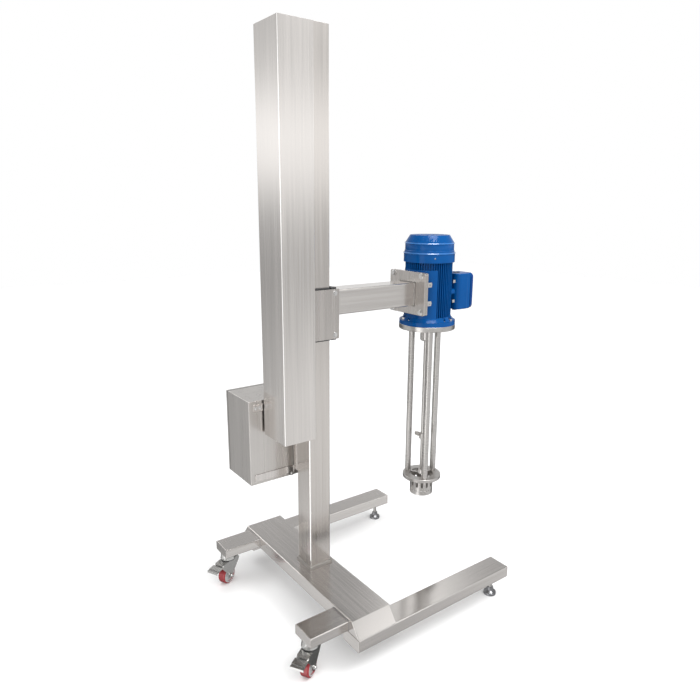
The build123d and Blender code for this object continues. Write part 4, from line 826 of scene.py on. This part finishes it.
# %% Wind the threads and add the soles
screw_low, screw_high = (Vector(corner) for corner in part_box("lead_screw"))
plain_end = 0.030
threaded = screw_high.z - screw_low.z - 2 * plain_end
screw_place = ((screw_low.x + screw_high.x) / 2, 0, screw_low.z + plain_end)
work = bmesh.new()
thread(work, screw_place, 0.0128, 0.0012, 0.005, threaded)
built("lead_screw_thread", work, steel_turned, "lead_screw", 60)
socket = [
    (0.0255, 0.010), (0.0225, 0.014), (0.0150, 0.020),
    (0.0135, 0.034), (0.0120, 0.036), (0.0080, 0.036)]
for side in ("near", "far"):
    low, high = (Vector(corner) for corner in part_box(f"levelling_foot_{side}"))
    x, y, _ = (low + high) / 2
    work = bmesh.new()
    thread(work, (x, y, 0.020), 0.0084, 0.0010, 0.002, 0.048, 16)
    built(f"foot_thread_{side}", work, steel_bolt, f"levelling_foot_{side}", 60)
    work = bmesh.new()
    revolve(work, socket, (x, y, 0.0), steps=40)
    built(f"foot_socket_{side}", work, dark_zinc, f"levelling_foot_{side}")
    reach = (high.x - low.x) / 2
    sole = [(reach - 0.004, 0.0), (reach, 0.0), (reach, 0.0045), (reach - 0.0012, 0.0052)]
    work = bmesh.new()
    revolve(work, sole, (x, y, 0.0), steps=40)
    built(f"foot_sole_{side}", work, black_rubber, f"levelling_foot_{side}")
print("threads and soles built")

# %% [markdown]
# # The studio
# The photograph shows white paper below and behind, with a soft shadow where the machine
# stands. Polished metal has no colour of its own to show, so it needs a room to mirror. A
# ramp over the height of a direction makes a bright band at eye level, with dimmer walls
# above and below it. A tall window at one side draws the white line down every upright
# fold, soft panels higher up do the same for the level folds, and two lamps overhead light
# the rings of the fan cowl. Only reflections see this room. Camera rays see plain white,
# and diffuse rays get a soft light from the camera's side, so that paint keeps its colour.

# %% The room that metal mirrors
world = bpy.data.worlds.new("studio")
bpy.context.scene.world = world
world.use_nodes = True
room = world.node_tree
room.nodes.clear()
direction = node(room, "ShaderNodeTexCoord", {}, {}, "Generated")
height = node(room, "ShaderNodeSeparateXYZ", {}, {0: direction}, "Z")

# The walls' brightness, from straight down at 0 through the horizon at 0.5 to straight up.
walls = (
    (0.00, 0.25), (0.19, 0.34), (0.23, 0.46), (0.29, 0.57), (0.35, 0.59), (0.44, 0.36),
    (0.49, 0.40), (0.53, 0.92), (0.56, 0.92), (0.60, 0.50), (0.66, 0.42), (0.74, 0.36),
    (0.80, 0.20), (0.88, 0.22), (0.94, 0.80), (1.00, 0.80))
stops = [(place, grey(value)) for place, value in walls]
band = node(room, "ShaderNodeValToRGB", {"stops": stops}, {"Fac": height * 0.5 + 0.5})


def towards(degrees, rise):
    """How nearly a direction points at a bearing and a rise, as a cosine."""
    bearing, rise = math.radians(degrees), math.radians(rise)
    level = math.cos(rise)
    aim = (math.cos(bearing) * level, math.sin(bearing) * level, math.sin(rise))
    return node(room, "ShaderNodeVectorMath", {"operation": "DOT_PRODUCT"},
                {0: direction, 1: aim}, "Value")


def panel(degrees, rise, outer, inner):
    """A soft round light panel: 0 outside its outer angle, 1 within its inner angle."""
    edge, full = math.cos(math.radians(outer)), math.cos(math.radians(inner))
    return ((towards(degrees, rise) - edge) * (1 / (full - edge))).clamp()


# The window is an upright stripe at one bearing, which ends some way above the horizon.
levelness = (1.0 - height * height) ** 0.5
window_side, window_edge, window_top = -170, 0.94, 0.36
stripe = ((towards(window_side, 0) / levelness - window_edge) * 20.0).clamp()
window = stripe * ((window_top - height) * 8.0).clamp()

# Low down on the far side, ahead of the camera, the walls are dimmer.
below = ((height * -1.0 + 0.15) * 8.0).clamp()
shade = panel(54, -20, 68, 50) * below * 1.2
mirrored = band * (1.5 - shade) + window * 1.3

# Bearing, rise, outer angle, inner angle and strength of each light panel.
for degrees, rise, outer, inner, strength in (
    (92, 43, 16, 8, 2.8),
    (-54, 23, 9, 5, 0.75),
    (-31, 56, 12, 7, 2.2),
    (126, -36, 12, 6, 0.35),
    (45.8, 36, 5, 2, 1.1),
    (-126, 61, 11, 6, 12.0),
    (-92, 60, 14, 8, 12.0),
):
    mirrored = mirrored + panel(degrees, rise, outer, inner) * strength

sees_camera, sees_glossy, sees_through = (
    node(room, "ShaderNodeLightPath", {}, {}, kind)
    for kind in ("Is Camera Ray", "Is Glossy Ray", "Is Transmission Ray"))
soft = towards(-110, 30).clamp() * 1.6 + 0.46
plain = mixed(room, sees_glossy, soft, mirrored)
shown = mixed(room, (sees_camera + sees_through).clamp(), plain, grey(1.0))
background = node(room, "ShaderNodeBackground", {}, {"Color": shown, "Strength": 1.0})
sky = room.nodes.new("ShaderNodeOutputWorld")
room.links.new(background.socket, sky.inputs["Surface"])
print("the room is lit")

# %% The paper floor
floor_near, floor_far = -2.9, 12
floor_mesh = bpy.data.meshes.new("floor")
floor_mesh.from_pydata([
    (floor_near, floor_near, 0), (floor_far, floor_near, 0),
    (floor_far, floor_far, 0), (floor_near, floor_far, 0)], [], [(0, 1, 2, 3)])
floor = add("floor", floor_mesh)
paper = bpy.data.materials.new("floor_paper")
paper.use_nodes = True
sheet = paper.node_tree
sheet.nodes.clear()
dim_paper = node(sheet, "ShaderNodeBsdfDiffuse", {}, {"Color": grey(0.42)})
white_paper = node(sheet, "ShaderNodeBsdfDiffuse", {}, {"Color": grey(0.97)})
camera_ray = node(sheet, "ShaderNodeLightPath", {}, {}, "Is Camera Ray")
chosen = node(sheet, "ShaderNodeMixShader", {}, {0: camera_ray, 1: dim_paper, 2: white_paper})
end = sheet.nodes.new("ShaderNodeOutputMaterial")
sheet.links.new(chosen.socket, end.inputs["Surface"])
floor_mesh.materials.append(paper)
floor.visible_glossy = False
print("paper floor")

# %% Soft lamps
def softbox(name, place, target, size, power):
    """A square lamp for paint and paper, which metal doesn't mirror."""
    lamp = bpy.data.lights.new(name, "AREA")
    lamp.shape = "RECTANGLE"
    lamp.size = lamp.size_y = size
    lamp.energy = power
    box = bpy.data.objects.new(name, lamp)
    box.location = place
    box.rotation_euler = (Vector(target) - Vector(place)).to_track_quat("-Z", "Y").to_euler()
    box.visible_glossy = False
    bpy.context.scene.collection.objects.link(box)


middle = (0.0, 0.0, 0.8)
softbox("key_softbox", (1.9, -2.6, 5.4), middle, 2.6, 110)
softbox("top_softbox", (-1.8, 2.4, 5.0), middle, 2.6, 50)
print("two softboxes")

# %% [markdown]
# # The camera
# The camera was found by matching the corners of the machine in the photograph to the same
# corners in the CAD model. It stands behind and to one side, at head height, and looks
# slightly down.

# %% Place the camera
yaw, pitch, roll = (math.radians(a) for a in (53.94, 13.44, 0.35))
eye = (mast_x - 1.2653, -1.9897, 1.6931)
ahead = Vector((
    math.cos(pitch) * math.cos(yaw), math.cos(pitch) * math.sin(yaw), -math.sin(pitch)))
right = Vector((math.sin(yaw), -math.cos(yaw), 0))
tilted = right * math.cos(roll) + right.cross(ahead) * math.sin(roll)
axes = Matrix((tilted, tilted.cross(ahead), -ahead)).transposed().to_4x4()
lens = bpy.data.cameras.new("camera")
lens.sensor_width = 36
lens.lens = 31.285
lens.clip_end = 100
camera = bpy.data.objects.new("camera", lens)
camera.matrix_world = Matrix.Translation(eye) @ axes
bpy.context.scene.collection.objects.link(camera)
bpy.context.scene.camera = camera
bpy.context.scene.view_settings.view_transform = "Standard"
print("camera looks along", tuple(round(c, 3) for c in ahead))
